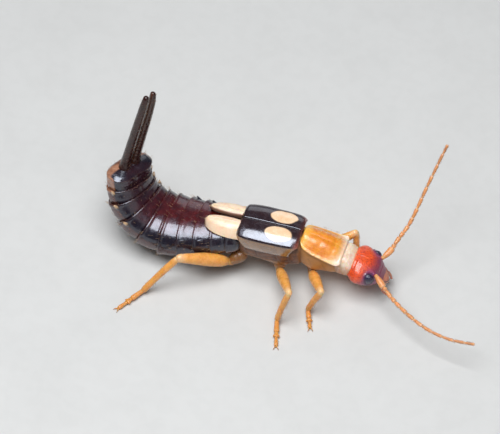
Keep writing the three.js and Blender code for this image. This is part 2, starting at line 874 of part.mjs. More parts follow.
const sides = [
  ["left", LEFT],
  ["right", RIGHT],
];
const thoraxBody = (grow) => levelBody(THORAX_ROWS, BODY_SIDES, BODY_SQUARENESS, grow);
const prothoraxBody = (grow) => levelBody(PROTHORAX_ROWS, BODY_SIDES, BODY_SQUARENESS, grow);

// Copies grown by the gap, which are cut out of their neighbours
const grownCases = sides.map(([, side]) => wingCase(side, GAP));
const grownTips = sides.map(([, side]) => wingTip(side, GAP));
const grownShield = shield(GAP);
const grownHead = headShell(HEAD_ROWS, GAP);
const grownEyes = sides.map(([, side]) => eye(side, EYE_GAP));
const belowFloor = box(
  new THREE.Vector3(-FLOOR_REACH, -FLOOR_REACH, -FLOOR_REACH),
  new THREE.Vector3(FLOOR_REACH, FLOOR_REACH, FOOT_LEVEL),
);
const aroundLegs = [thoraxBody(GAP), prothoraxBody(GAP), belowFloor];

addPiece("thorax", cut(thoraxBody(0), grownCases), "thorax", THORAX_ROOT);
addPiece("prothorax", cut(prothoraxBody(0), [grownShield]), "thorax", PROTHORAX_ROOT);
addPiece("neck", levelBody(NECK_ROWS, NECK_SIDES, NECK_SQUARENESS), "neck", NECK_ROOT);
addPiece("pronotum", shield(), "shield", SHIELD_START);
addPiece("head", cut(headShell(HEAD_ROWS), grownEyes), "head", HEAD_BACK);
addPiece("mouthparts", mouthparts(), "mouth", slopedPoint(HEAD_BACK, LIP_START, 0, 0));
for (const [name, side] of sides) {
  const antenna = cut(feeler(side, FEELER_WAYS[name]), [grownHead, ...grownEyes]);
  addPiece(`eye_${name}`, eye(side), "eye", eyeMiddle(side));
  addPiece(`antenna_${name}`, antenna, "feeler", feelerRoot(side));
  addPiece(`wing_case_${name}`, wingCase(side), "case", WING_CASE_ROOT);
  addPiece(`wing_tip_${name}`, wingTip(side), "tip", WING_TIP_ROOT);
  addPiece(`forceps_${name}`, forcepsBranch(side), "forceps", abdomenEnd.origin);
}
ABDOMEN_SEGMENTS.forEach((_, index) => {
  const whole = fuse([abdomenSegment(index), ...segmentBumps(index)]);
  const solid = index < SEGMENTS_UNDER_TIPS ? cut(whole, grownTips) : whole;
  addPiece(`abdomen_${index + 1}`, solid, "abdomen", segmentFrame(index, 0).origin);
});
for (const plan of LEGS) {
  addPiece(`leg_${plan.name}`, cut(leg(plan), aroundLegs), "leg", vector(plan.root));
}

insect.position.copy(FOOTPRINT_MIDDLE).multiplyScalar(-1);

export default insect;
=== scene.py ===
import math
import random

import bmesh
import bpy
import numpy as np
from mathutils import Euler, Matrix, Quaternion, Vector, noise


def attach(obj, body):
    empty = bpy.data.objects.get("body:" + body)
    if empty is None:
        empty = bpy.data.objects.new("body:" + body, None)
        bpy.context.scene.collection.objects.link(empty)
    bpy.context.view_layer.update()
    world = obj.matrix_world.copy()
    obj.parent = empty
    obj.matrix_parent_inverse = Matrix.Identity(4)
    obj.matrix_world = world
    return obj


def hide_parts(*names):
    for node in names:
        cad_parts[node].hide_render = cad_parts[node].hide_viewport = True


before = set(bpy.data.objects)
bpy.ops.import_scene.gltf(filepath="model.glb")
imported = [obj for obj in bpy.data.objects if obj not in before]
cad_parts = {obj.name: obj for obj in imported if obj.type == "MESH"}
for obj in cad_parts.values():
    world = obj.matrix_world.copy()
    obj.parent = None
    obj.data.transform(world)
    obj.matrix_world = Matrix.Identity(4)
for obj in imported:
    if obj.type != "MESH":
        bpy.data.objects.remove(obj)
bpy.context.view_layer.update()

# An earwig at life size. Shapes are worked out in millimetres from the front end of the seam
# between the wing cases: +x to the head, +y to the insect's left, z up from the floor.
LEFT = 1
RIGHT = -1
SIDES = (("left", LEFT), ("right", RIGHT))
FORWARD = (1, 0, 0)
LEFTWARD = (0, 1, 0)
UPWARD = (0, 0, 1)
METRES = 0.001
# The middle of the footprint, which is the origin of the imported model
FOOTPRINT_MIDDLE = np.array([-0.154, 0.16, 0.0])
BACK_HEIGHT = 2.72
FRONT_SLOPE = math.radians(20)

ABDOMEN_ROOT = (-2.5, 0.0, 1.62)
PATH_STEPS = 20
# Length, half width, height above and below the middle line, then curl, lean and twist in degrees
SEGMENTS = (
    (0.4, 0.92, 0.62, 0.56, -8.0, 0.0, 0.0),
    (0.59, 1.07, 0.74, 0.68, -5.6, 0.0, 0.0),
    (0.66, 1.23, 0.82, 0.8, -1.4, 0.0, 0.0),
    (0.72, 1.34, 0.88, 0.88, 5.4, 0.0, 0.0),
    (0.76, 1.4, 0.9, 0.92, 13.3, 3.1, 1.0),
    (0.76, 1.38, 0.88, 0.9, 18.7, 6.2, 1.5),
    (0.74, 1.29, 0.84, 0.84, 20.1, 7.7, 2.1),
    (0.66, 1.18, 0.78, 0.76, 18.4, 7.7, 2.6),
    (0.55, 1.1, 0.7, 0.68, 16.0, 4.6, 2.1),
    (0.62, 1.03, 0.56, 0.54, 14.3, -1.0, 1.0),
)
LAST_SEGMENT = len(SEGMENTS) - 1
SEGMENT_SIDES = 168
SEGMENT_STEPS = 40
# Exponents of the rounded sections that bristles and bumps stand on
SEGMENT_FULLNESS = 0.87
HEAD_FULLNESS = 0.91
# Share of a segment's length, and how far it has swollen there; its root is tucked under the rim before
SEGMENT_SWELL = (
    (-0.2, 0.84), (0.0, 0.915), (0.14, 0.955), (0.5, 0.995), (0.8, 1.015), (0.92, 1.04), (1.0, 1.035),
)
# The rows after those: a rim that turns in behind itself, or the round end of the last segment
RIM_TURN = ((1.015, 1.02), (1.022, 1.0), (1.015, 0.97), (0.98, 0.94))
LAST_SEGMENT_CLOSE = (
    (1.03, 0.995), (1.08, 0.96), (1.15, 0.895), (1.22, 0.79), (1.28, 0.64), (1.32, 0.44), (1.34, 0.2),
)
# The pale points are partly pale in their own colour and partly a painted highlight
# Folds and pale points on the sides: share of the segment's length, degrees over its middle line,
# radius, lean to the rear, paleness, and the height on each segment that has one
SIDE_BUMPS = (
    {"share": 0.6, "lift": 34, "radius": 0.035, "lean": 1.0, "pale": 0.0, "heights": {2: 0.07, 3: 0.11}},
    {
        "share": 0.8, "lift": 12, "radius": 0.05, "lean": 1.8, "pale": 1.0,
        "heights": {6: 0.1, 7: 0.12, 8: 0.1},
    },
)

FORCEPS_LENGTH = 4.55
# Share of the length, distance from the midline, rise to the back, radius across and upward
FORCEPS_ROWS = (
    (-0.03, 0.3, -0.02, 0.24, 0.23),
    (0.02, 0.3, 0.0, 0.25, 0.24),
    (0.06, 0.295, 0.02, 0.215, 0.215),
    (0.1, 0.29, 0.035, 0.195, 0.2),
    (0.16, 0.285, 0.07, 0.185, 0.19),
    (0.35, 0.28, 0.2, 0.175, 0.18),
    (0.6, 0.27, 0.38, 0.168, 0.172),
    (0.78, 0.25, 0.5, 0.16, 0.163),
    (0.9, 0.225, 0.57, 0.148, 0.15),
    (0.97, 0.2, 0.6, 0.122, 0.124),
    (0.99, 0.19, 0.6, 0.095, 0.095),
    (1.0, 0.185, 0.6, 0.05, 0.05),
)
# Share of the length, height over the branch, root radius
FORCEPS_TEETH = ((0.08, 0.05, 0.07), (0.6, 0.075, 0.07), (0.86, 0.03, 0.035))
FORCEPS_NICKS = 10

# From the seam over the ridge to the lower edge: distance out, and height over the back
CASE_PROFILE = (
    (0.008, -0.03), (0.025, -0.004), (0.05, 0.006), (0.1, 0.006), (0.3, 0.016), (0.48, 0.002), (0.62, -0.03),
    (0.74, -0.074), (0.84, -0.124), (0.905, -0.168), (0.942, -0.22), (0.958, -0.31), (0.955, -0.46),
    (0.93, -0.66), (0.88, -0.86),
)
# Place along the body, share of the full width, and drop
CASE_ROWS = (
    (-2.52, 0.84, -0.04), (-2.36, 0.94, -0.02), (-1.9, 1.0, 0.0), (-1.0, 1.0, 0.0), (-0.3, 0.96, 0.0),
    (0.02, 0.86, -0.05),
)
# The pale spot: its middle along and out, and its half sizes
SPOT_MIDDLE = (-0.86, 0.45)
SPOT_SIZE = (0.56, 0.34)

# Distance behind the seam's front end, inner and outer edge, and drop
TIP_ROWS = (
    (2.35, 0.12, 0.8, -0.02), (2.62, 0.09, 0.84, 0.0), (2.9, 0.075, 0.87, 0.0), (3.3, 0.085, 0.83, -0.01),
    (3.62, 0.13, 0.72, -0.03), (3.84, 0.22, 0.57, -0.06), (3.94, 0.34, 0.44, -0.09),
)
# Share of the width, and height as a share of the tip's depth, with the main vein near the inner edge
TIP_PROFILE = (
    (0.0, -0.5), (0.0, -0.22), (0.05, -0.06), (0.14, 0.0), (0.2, 0.03), (0.25, 0.09), (0.3, 0.03),
    (0.44, 0.0), (0.58, -0.1), (0.72, -0.28), (0.84, -0.54), (0.93, -0.8), (0.99, -1.0), (1.0, -1.1),
)

# Place along the body, half width, top and bottom; the top lies under the plates
THORAX_ROWS = (
    (-2.5, 0.6, 2.3, 1.15), (-2.4, 0.72, 2.42, 1.08), (-2.0, 0.82, 2.5, 0.98), (-1.3, 0.87, 2.54, 0.92),
    (-0.6, 0.84, 2.54, 0.92), (0.0, 0.7, 2.5, 1.0), (0.1, 0.62, 2.44, 1.06),
)
PROTHORAX_ROWS = (
    (0.02, 0.54, 2.46, 1.1), (0.12, 0.6, 2.5, 1.04), (0.6, 0.66, 2.38, 0.97), (1.2, 0.63, 2.16, 0.97),
    (1.6, 0.57, 2.0, 1.02), (1.74, 0.5, 1.92, 1.08),
)
NECK_ROWS = (
    (1.5, 0.56, 1.98, 1.12), (1.68, 0.64, 2.06, 1.06), (1.82, 0.64, 2.07, 1.07), (1.96, 0.66, 2.06, 1.05),
    (2.1, 0.63, 1.99, 1.07), (2.26, 0.56, 1.86, 1.06),
)
# Grooves between the plates of the sides, each from one place to another as x and z
FLANK_GROOVES = (
    (-2.2, 1.9, -1.95, 1.0), (-1.75, 1.95, -1.45, 0.95), (-1.45, 1.5, -0.9, 1.75), (-0.95, 1.95, -0.55, 0.95),
    (-0.35, 1.9, -0.1, 1.05), (0.45, 1.8, 0.75, 1.0), (1.0, 1.75, 1.25, 1.05), (-2.4, 1.42, 0.0, 1.5),
)

SHIELD_START = (0.12, 0.0, BACK_HEIGHT - 0.02)
# Distance along the shield, half width, rise of its middle, drop of its edges
SHIELD_ROWS = (
    (-0.02, 0.22, -0.04, 0.18), (0.0, 0.36, -0.01, 0.21), (0.06, 0.5, 0.01, 0.25), (0.2, 0.62, 0.03, 0.29),
    (0.5, 0.705, 0.07, 0.3), (1.0, 0.755, 0.11, 0.27), (1.45, 0.785, 0.1, 0.22), (1.68, 0.79, 0.05, 0.16),
    (1.77, 0.74, 0.02, 0.13), (1.81, 0.64, -0.01, 0.12),
)
# Share of the half width, share of the rise, and lift
SHIELD_HALF_PROFILE = (
    (0.0, 0.96, 0.0), (0.2, 1.1, 0.006), (0.45, 0.92, 0.008), (0.66, 0.5, -0.012), (0.84, 0.06, -0.014),
    (0.94, 0.0, 0.0), (1.0, 0.0, 0.018),
)
SHIELD_PROFILE = tuple((-share, *row) for share, *row in SHIELD_HALF_PROFILE[:0:-1]) + SHIELD_HALF_PROFILE

HEAD_BACK = (2.08, 0.0, 1.54)
HEAD_POWER = 2.2
# Distance along the head's axis, half width, height above and below that axis
HEAD_ROWS = (
    (-0.03, 0.36, 0.26, 0.24), (0.0, 0.5, 0.36, 0.34), (0.08, 0.69, 0.47, 0.43), (0.3, 0.85, 0.54, 0.48),
    (0.6, 0.87, 0.55, 0.49), (0.86, 0.78, 0.5, 0.47), (1.08, 0.64, 0.39, 0.43), (1.24, 0.51, 0.26, 0.38),
    (1.36, 0.41, 0.15, 0.34), (1.44, 0.33, 0.08, 0.3),
)
# The eye's middle and half sizes and the feeler's socket, along, out and up from the head's axis
EYE_MIDDLE = (0.84, 0.63, 0.16)
EYE_SIZE = (0.23, 0.17, 0.25)
SOCKET = (1.1, 0.5, 0.38)
# In the way of the head's rows
LOWER_LIP_ROWS = (
    (1.16, 0.3, 0.04, 0.34), (1.3, 0.31, 0.02, 0.36), (1.5, 0.27, -0.02, 0.34), (1.62, 0.2, -0.1, 0.3),
    (1.68, 0.08, -0.17, 0.26),
)
# A palp of five joints and one of three: their ends along, out and up, then their radii
PALPS = (
    (
        (1.36, 0.27, -0.16), (1.45, 0.34, -0.2), (1.54, 0.43, -0.25), (1.66, 0.48, -0.34),
        (1.78, 0.46, -0.44), (1.86, 0.41, -0.53), (0.06, 0.062, 0.064, 0.06, 0.048),
    ),
    ((1.5, 0.12, -0.3), (1.6, 0.17, -0.37), (1.69, 0.19, -0.44), (1.77, 0.16, -0.52), (0.042, 0.042, 0.034)),
)
# Share of a palp joint's length, and of its radius across and upward
PALP_OUTLINE = (
    (-0.06, 0.4, 0.4), (0.0, 0.62, 0.62), (0.18, 0.84, 0.84), (0.7, 1.0, 1.0), (0.93, 0.86, 0.86),
    (1.0, 0.5, 0.5),
)

# The feeler's joints, as lengths against each other
FEELER_JOINTS = (3, 0.8, 2, 1.4, 1.7, 2, 2.3, 2.5, 2.6, 2.7, 2.7, 2.6, 2.3)
FEELER_RADIUS = 0.108
FEELER_TAPER = 0.052
# Each joint's outline: share of its length and of its full radius
FEELER_OUTLINE = (
    (0.0, 0.4), (0.03, 0.55), (0.1, 0.68), (0.3, 0.86), (0.6, 0.98), (0.82, 1.0), (0.94, 0.9), (1.0, 0.6),
)
# The places that each feeler runs through from its socket
FEELER_WAYS = {
    RIGHT: ((3.98, -1.1, 1.26), (4.8, -1.68, 1.19), (5.8, -2.2, 1.14), (6.8, -2.5, 1.2), (7.9, -2.62, 1.4)),
    LEFT: (
        (3.46, 0.85, 1.64), (3.62, 1.3, 1.83), (3.91, 1.96, 2.16), (4.31, 3.2, 3.32), (4.56, 3.96, 4.02),
        (4.76, 4.44, 4.58),
    ),
}

ANKLE_HEIGHT = 0.2
TOE_HEIGHT = 0.075
# Hip, root of the thigh, knee, ankle and toe, the size against the hind legs, and the thigh's stoutness
LEGS = {
    "front_right": (
        (0.6, -0.3, 1.12), (0.56, -0.52, 0.86), (1.35, -1.86, 1.44), (0.82, -1.9), (1.13, -2.67), 0.86, 0.94,
    ),
    "middle_right": (
        (-0.76, -0.46, 1.1), (-0.72, -0.76, 0.86), (0.2, -2.5, 1.74), (-0.22, -2.76), (0.09, -3.95),
        0.92, 0.93,
    ),
    "hind_right": (
        (-2.25, -0.5, 1.1), (-2.74, -0.92, 0.84), (-4.58, -1.99, 1.66), (-5.79, -2.85), (-6.51, -3.93),
        1.0, 1.12,
    ),
    "front_left": (
        (0.6, 0.3, 1.12), (0.56, 0.52, 0.86), (1.92, 1.24, 1.78), (1.98, 1.06), (2.74, 0.9), 0.86, 0.94,
    ),
    "middle_left": (
        (-0.76, 0.46, 1.1), (-0.72, 0.76, 0.86), (-2.75, 1.75, 1.0), (-4.1, 1.95), (-5.28, 2.25), 0.92, 0.9,
    ),
    "hind_left": (
        (-2.25, 0.5, 1.1), (-2.74, 0.92, 0.84), (-4.85, 1.52, 0.66), (-6.7, 2.02), (-7.8, 2.55), 1.0, 1.0,
    ),
}
# Share of the part's length, half width and half depth
COXA_ROWS = ((0, 0.2, 0.22), (0.2, 0.25, 0.28), (0.6, 0.24, 0.26), (0.9, 0.18, 0.18), (1.05, 0.13, 0.13))
TROCHANTER_ROWS = ((0, 0.11, 0.11), (0.25, 0.15, 0.15), (0.7, 0.155, 0.155), (1, 0.13, 0.13))
FEMUR_ROWS = (
    (0.0, 0.1, 0.1), (0.04, 0.16, 0.17), (0.2, 0.225, 0.24), (0.45, 0.235, 0.25), (0.75, 0.19, 0.205),
    (0.92, 0.155, 0.175), (0.98, 0.145, 0.165), (1.03, 0.1, 0.12), (1.05, 0.03, 0.04),
)
TIBIA_ROWS = (
    (-0.03, 0.05, 0.06), (0.0, 0.09, 0.1), (0.05, 0.12, 0.13), (0.25, 0.135, 0.14), (0.7, 0.12, 0.125),
    (0.93, 0.125, 0.125), (0.99, 0.115, 0.11), (1.02, 0.06, 0.06),
)
# Share of the foot's length where each joint starts and ends, its radii, and how flat its end is
FOOT_JOINTS = ((0.0, 0.48, 0.085, 0.11, 1.0), (0.45, 0.66, 0.06, 0.14, 0.62), (0.6, 1.0, 0.058, 0.085, 1.0))
# Each claw's points from the toe: forward, sideways and up; the last one is just above the floor
CLAW_POINTS = ((0, 0.02, 0), (0.08, 0.06, 0.01), (0.15, 0.1, -0.02), (0.17, 0.11, 0.012 - TOE_HEIGHT))


def smooth_curve(start, end, pull_in, pull_out, t):
    """A point between two others on a smooth curve, with its pull at either end."""
    return (
        start * (2 * t**3 - 3 * t**2 + 1)
        + pull_in * (t**3 - 2 * t**2 + t)
        + end * (3 * t**2 - 2 * t**3)
        + pull_out * (t**3 - t**2)
    )


def read_rows(rows, at):
    """The values of a table at one place, on a smooth curve through its rows."""
    last = len(rows) - 1
    at = min(max(at, rows[0][0]), rows[last][0])
    row = 0
    while row < last - 1 and at > rows[row + 1][0]:
        row += 1
    span = rows[row + 1][0] - rows[row][0]
    t = (at - rows[row][0]) / span

    def slope(index, column):
        before = rows[max(index - 1, 0)]
        after = rows[min(index + 1, last)]
        return (after[column] - before[column]) / (after[0] - before[0])

    values = []
    for column in range(1, len(rows[0])):
        pulls = slope(row, column) * span, slope(row + 1, column) * span
        values.append(smooth_curve(rows[row][column], rows[row + 1][column], *pulls, t))
    return values


def numbered(rows):
    """The same rows read by their order, for a profile that turns back on itself."""
    return [(index, *row) for index, row in enumerate(rows)]


def along_rows(rows, steps):
    """Even steps from the first to the last place of a table."""
    first, last = rows[0][0], rows[-1][0]
    return [first + (last - first) * step / steps for step in range(steps + 1)]


def smooth_step(low, high, value):
    """Nothing up to low, and smoothly up to 1 at high."""
    t = min(max((value - low) / (high - low), 0.0), 1.0)
    return t * t * (3 - 2 * t)


def fade(low, high, value):
    """1 up to low, and smoothly down to nothing at high."""
    return 1 - smooth_step(low, high, value)


def bell(value, width):
    """1 at nothing, and fading to either side."""
    return math.exp(-((value / width) ** 2))


def oval_distance(spot, middle, sizes):
    """Distance from a middle, 1 on the oval of the given half sizes."""
    return math.hypot(*((at - centre) / size for at, centre, size in zip(spot, middle, sizes)))


def wobble(point, size, seed=0.0):
    """A smooth random value from -1 to 1 that changes over about the given size."""
    return noise.noise(Vector((point[0] / size + seed, point[1] / size, point[2] / size)))


def unit(vector):
    vector = np.asarray(vector, float)
    return vector / np.linalg.norm(vector)


class Place:
    """A spot with its own directions: along, across and up."""

    def __init__(self, origin, along, across, up):
        self.origin = np.asarray(origin, float)
        self.along = np.asarray(along, float)
        self.across = np.asarray(across, float)
        self.up = np.asarray(up, float)

    def point(self, out=0.0, rise=0.0, ahead=0.0):
        return self.origin + self.across * out + self.up * rise + self.along * ahead

    def moved(self, out=0.0, rise=0.0, ahead=0.0):
        return Place(self.point(out, rise, ahead), self.along, self.across, self.up)

    def outward(self, angle):
        return self.across * math.cos(angle) + self.up * math.sin(angle)


def place_facing(origin, along, hint=UPWARD):
    """A spot that looks along a way, with its up as near to the hint as it can be."""
    along = unit(along)
    across = unit(np.cross(hint, along))
    return Place(origin, along, across, np.cross(along, across))


def sloped_place(start, distance):
    forward = np.array([math.cos(FRONT_SLOPE), 0.0, -math.sin(FRONT_SLOPE)])
    up = np.array([math.sin(FRONT_SLOPE), 0.0, math.cos(FRONT_SLOPE)])
    return Place(np.array(start) + forward * distance, forward, LEFTWARD, up)


def limb_place(start, end, share, hint=UPWARD, bow=0.0):
    start, end = np.array(start, float), np.array(end, float)
    place = place_facing(start + (end - start) * share, end - start, hint)
    return place.moved(rise=bow * 4 * share * (1 - share))


def abdomen_places():
    """The middle line of the abdomen, with its own directions at every step."""
    turn = Quaternion(UPWARD, math.pi)
    spot = Vector(ABDOMEN_ROOT)
    places = []

    def keep():
        places.append(Place(spot, *(turn @ Vector(way) for way in (FORWARD, (0, -1, 0), UPWARD))))

    keep()
    for length, _, _, _, curl, lean, twist in SEGMENTS:
        angles = [-math.radians(value) / PATH_STEPS for value in (twist, curl, lean)]
        bend = Euler(angles).to_quaternion()
        for _ in range(PATH_STEPS):
            turn = turn @ bend
            spot = spot + (turn @ Vector(FORWARD)) * (length / PATH_STEPS)
            keep()
    return places


ABDOMEN_PLACES = abdomen_places()
ABDOMEN_END = ABDOMEN_PLACES[-1]


def abdomen_place(segment, share):
    """The spot at a share of one segment's length, also a little before its root or past its end."""
    at = (segment + share) * PATH_STEPS
    low = int(min(max(math.floor(at), 0), len(ABDOMEN_PLACES) - 2))
    first, second = ABDOMEN_PLACES[low], ABDOMEN_PLACES[low + 1]
    part = at - low

    def mix(name):
        return getattr(first, name) * (1 - part) + getattr(second, name) * part

    return Place(mix("origin"), unit(mix("along")), unit(mix("across")), unit(mix("up")))


def segment_size(segment, share):
    """Half width and heights above and below at a share of a segment's length."""
    here = SEGMENTS[segment]
    after = SEGMENTS[min(segment + 1, LAST_SEGMENT)]
    before = SEGMENTS[max(segment - 1, 0)]
    share = min(max(share, 0.0), 1.0)
    sizes = []
    for column in (1, 2, 3):
        start = (before[column] + here[column]) / 2
        end = (after[column] + here[column]) / 2
        sizes.append(start + (end - start) * share)
    return sizes


def rounded(angle, half, above, below, exponent):
    """Distance out and up at an angle of a rounded section; a lower exponent fills its corners."""
    across, rise = math.cos(angle), math.sin(angle)
    out = half * math.copysign(abs(across) ** exponent, across)
    up = (above if rise > 0 else below) * math.copysign(abs(rise) ** exponent, rise)
    return out, up


def section(half, above, below, sides, power=2.0):
    """Angle, distance out and distance up of every point of a rounded section."""
    angles = [2 * math.pi * index / sides for index in range(sides)]
    return [(angle, *rounded(angle, half, above, below, 2 / power)) for angle in angles]


def circle(radius, sides):
    return section(radius, radius, radius, sides)


class Shell:
    """The points and faces of one piece in millimetres, with marks that its finish reads."""

    # Share of a bristle's length and of its root's thickness, at its two rings of points
    HAIR_RINGS = ((-0.12, 1.0), (0.5, 0.7))
    HAIR_DROOP = 0.15
    # A way that no bristle takes, to find a bristle's sides with
    ODD_WAY = (0.31, 0.47, 0.83)
    # How far a plate's edge bulges, as a share of its thickness
    EDGE_BULGE = 0.45
    # Size of a bristle's patch on the map, and the angle there from one of its corners to the next
    PATCH_SIZE = 0.003
    PATCH_TURN = 2.1

    def __init__(self):
        self.points = []
        self.faces = []
        self.marks = {}
        self.patches = []

    def add(self, points, faces, marks=None, patch=None):
        start = len(self.points)
        self.points.extend(np.asarray(point, float) for point in points)
        self.faces.extend(tuple(start + corner for corner in face) for face in faces)
        for name, values in (marks or {}).items():
            self.marks.setdefault(name, []).append((start, values))
        if patch:
            self.patches.append((start, len(self.points), patch))

    def skin(self, rings):
        """A closed skin over rings, each given by its place and section, and if need be by a push outward
        and marks. A push is a rule of angle, out and up, and a mark is a number or such a rule."""
        run, marks = [], {}
        for place, spots, *more in rings:
            push, found = (*more, None, None)[:2]
            ring = []
            for angle, out, up in spots:
                off = push(angle, out, up) if push else 0.0
                ring.append(place.point(out + math.cos(angle) * off, up + math.sin(angle) * off))
            run.append(ring)
            for name, rule in (found or {}).items():
                values = [rule(*spot) if callable(rule) else rule for spot in spots]
                marks.setdefault(name, []).append(values)
        self.tube(run, marks)

    def tube(self, rings, marks):
        """A closed skin over rings of points, with a middle point that closes either end."""
        count = len(rings[0])
        points = [point for ring in rings for point in ring]
        faces = []
        for ring in range(len(rings) - 1):
            for side in range(count):
                a = ring * count + side
                b = ring * count + (side + 1) % count
                faces.append((a, b, b + count, a + count))
        first_middle = len(points)
        points += [np.mean(rings[0], axis=0), np.mean(rings[-1], axis=0)]
        last = (len(rings) - 1) * count
        for side in range(count):
            after = (side + 1) % count
            faces.append((after, side, first_middle))
            faces.append((last + side, last + after, first_middle + 1))
        flat = {
            name: [*np.ravel(values), np.mean(values[0]), np.mean(values[-1])]
            for name, values in marks.items()
        }
        self.add(points, faces, flat)

    def sheet(self, rule, rows, columns, thickness):
        """A thin plate; rule gives a point and its marks at each share of the length and width."""
        top = np.zeros((rows, columns, 3))
        marks = {}
        for i in range(rows):
            for j in range(columns):
                top[i, j], found = rule(i / (rows - 1), j / (columns - 1))
                for name, value in found.items():
                    marks.setdefault(name, np.zeros((rows, columns)))[i, j] = value
        self.plate(top, thickness, marks)

    def plate(self, top, thickness, marks):
        """A thin plate under a grid of points, with rounded edges."""
        rows, columns = top.shape[:2]
        down = np.cross(np.gradient(top, axis=0), np.gradient(top, axis=1))
        down /= np.maximum(np.linalg.norm(down, axis=2, keepdims=True), 1e-9)
        if down[rows // 2, columns // 2, 2] > 0:
            down = -down
        base = top + down * thickness
        border = [(0, j) for j in range(columns)]
        border += [(i, columns - 1) for i in range(1, rows)]
        border += [(rows - 1, j) for j in range(columns - 2, -1, -1)]
        border += [(i, 0) for i in range(rows - 2, 0, -1)]
        centre = top[rows // 2, columns // 2]
        edge = []
        for i, j in border:
            inner = top[min(max(i, 1), rows - 2), min(max(j, 1), columns - 2)]
            outward = top[i, j] - inner
            length = np.linalg.norm(outward)
            outward = outward / length if length > 1e-9 else unit(top[i, j] - centre)
            edge.append((top[i, j] + base[i, j]) / 2 + outward * thickness * self.EDGE_BULGE)
        points = [*top.reshape(-1, 3), *base.reshape(-1, 3), *edge]
        faces = []
        below = rows * columns
        for i in range(rows - 1):
            for j in range(columns - 1):
                a = i * columns + j
                faces.append((a, a + 1, a + columns + 1, a + columns))
                faces.append((below + a, below + a + columns, below + a + columns + 1, below + a + 1))
        rim = 2 * below
        for place, (i, j) in enumerate(border):
            after = (place + 1) % len(border)
            a = i * columns + j
            b = border[after][0] * columns + border[after][1]
            faces.append((b, a, rim + place, rim + after))
            faces.append((rim + after, rim + place, below + a, below + b))
        full = {
            name: [*values.ravel(), *values.ravel(), *(values[spot] for spot in border)]
            for name, values in marks.items()
        }
        self.add(points, faces, full)

    def hair(self, root, way, length, radius, patch):
        """One tapered bristle, slightly bent."""
        way = unit(way)
        side = unit(np.cross(way, self.ODD_WAY))
        other = np.cross(way, side)
        root = np.asarray(root, float)
        points = []
        for share, thick in self.HAIR_RINGS:
            middle = root + way * length * share
            middle[2] -= self.HAIR_DROOP * length * max(share, 0) ** 2
            for corner in range(3):
                angle = 2 * math.pi * corner / 3
                points.append(middle + (side * math.cos(angle) + other * math.sin(angle)) * radius * thick)
        points.append(root + way * length - np.array([0, 0, self.HAIR_DROOP * length]))
        faces = [(0, 2, 1)]
        for a in range(3):
            b = (a + 1) % 3
            faces.append((a, b, b + 3, a + 3))
            faces.append((a + 3, b + 3, 6))
        self.add(points, faces, patch=patch)

    def make(self, name, material, slot, *nodes):
        """Turns the shell into a piece that rides on the body and stands for its solids."""
        mesh = bpy.data.meshes.new(name)
        points = (np.array(self.points) - FOOTPRINT_MIDDLE) * METRES
        points[:, 2] = np.maximum(points[:, 2], 0)
        mesh.from_pydata(points.tolist(), [], self.faces)
        work = bmesh.new()
        work.from_mesh(mesh)
        bmesh.ops.recalc_face_normals(work, faces=work.faces)
        work.to_mesh(mesh)
        work.free()
        for mark, runs in self.marks.items():
            values = np.zeros(len(self.points), np.float32)
            for start, part in runs:
                values[start : start + len(part)] = part
            attribute = mesh.attributes.new(mark, "FLOAT", "POINT")
            attribute.data.foreach_set("value", values)
        if self.patches:
            self.lay_patches(mesh)
        mesh.shade_smooth()
        mesh.materials.append(material)
        piece = bpy.data.objects.new(name, mesh)
        bpy.context.scene.collection.objects.link(piece)
        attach(piece, "root")
        if nodes:
            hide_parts(*nodes)

    def lay_patches(self, mesh):
        """Gives each bristle a small patch of its own on the map, at its root's place."""
        size = self.PATCH_SIZE
        spots = np.zeros((len(self.points), 2))
        for start, end, patch in self.patches:
            for corner in range(start, end):
                turn = (corner - start) * self.PATCH_TURN
                offset = np.array([math.cos(turn), math.sin(turn)]) * size / 2
                spots[corner] = np.array(patch) * (1 - size) + size / 2 + offset
        layer = mesh.uv_layers.new(name="OFBake")
        corners = np.zeros(len(mesh.loops), np.int32)
        mesh.loops.foreach_get("vertex_index", corners)
        layer.data.foreach_set("uv", spots[corners].astype(np.float32).reshape(-1))


def limb(shell, start, end, rows, hint=UPWARD, sides=20, steps=26, bow=0.0, scale=1.0, rough=0.0, marks=None):
    """A tapered part from one joint to the next, following its table of shares and radii."""

    def ring(share):
        place = limb_place(start, end, share, hint, bow)
        grain = 1 + rough * wobble(place.origin, 0.12)
        half, depth = (value * scale * grain for value in read_rows(rows, share))
        found = {name: rule(share) for name, rule in (marks or {}).items()}
        return place, section(half, depth, depth, sides), None, found

    shell.skin(ring(share) for share in along_rows(rows, steps))


def knob(shell, middle, radius, sides, steps):
    upright = Place(middle, UPWARD, FORWARD, LEFTWARD)

    def ring(lean):
        return upright.moved(ahead=-math.cos(lean) * radius), circle(math.sin(lean) * radius, sides)

    shell.skin(ring(math.pi * step / steps) for step in range(1, steps))


# Finishes


def colour(red, green, blue):
    return (red, green, blue, 1.0)


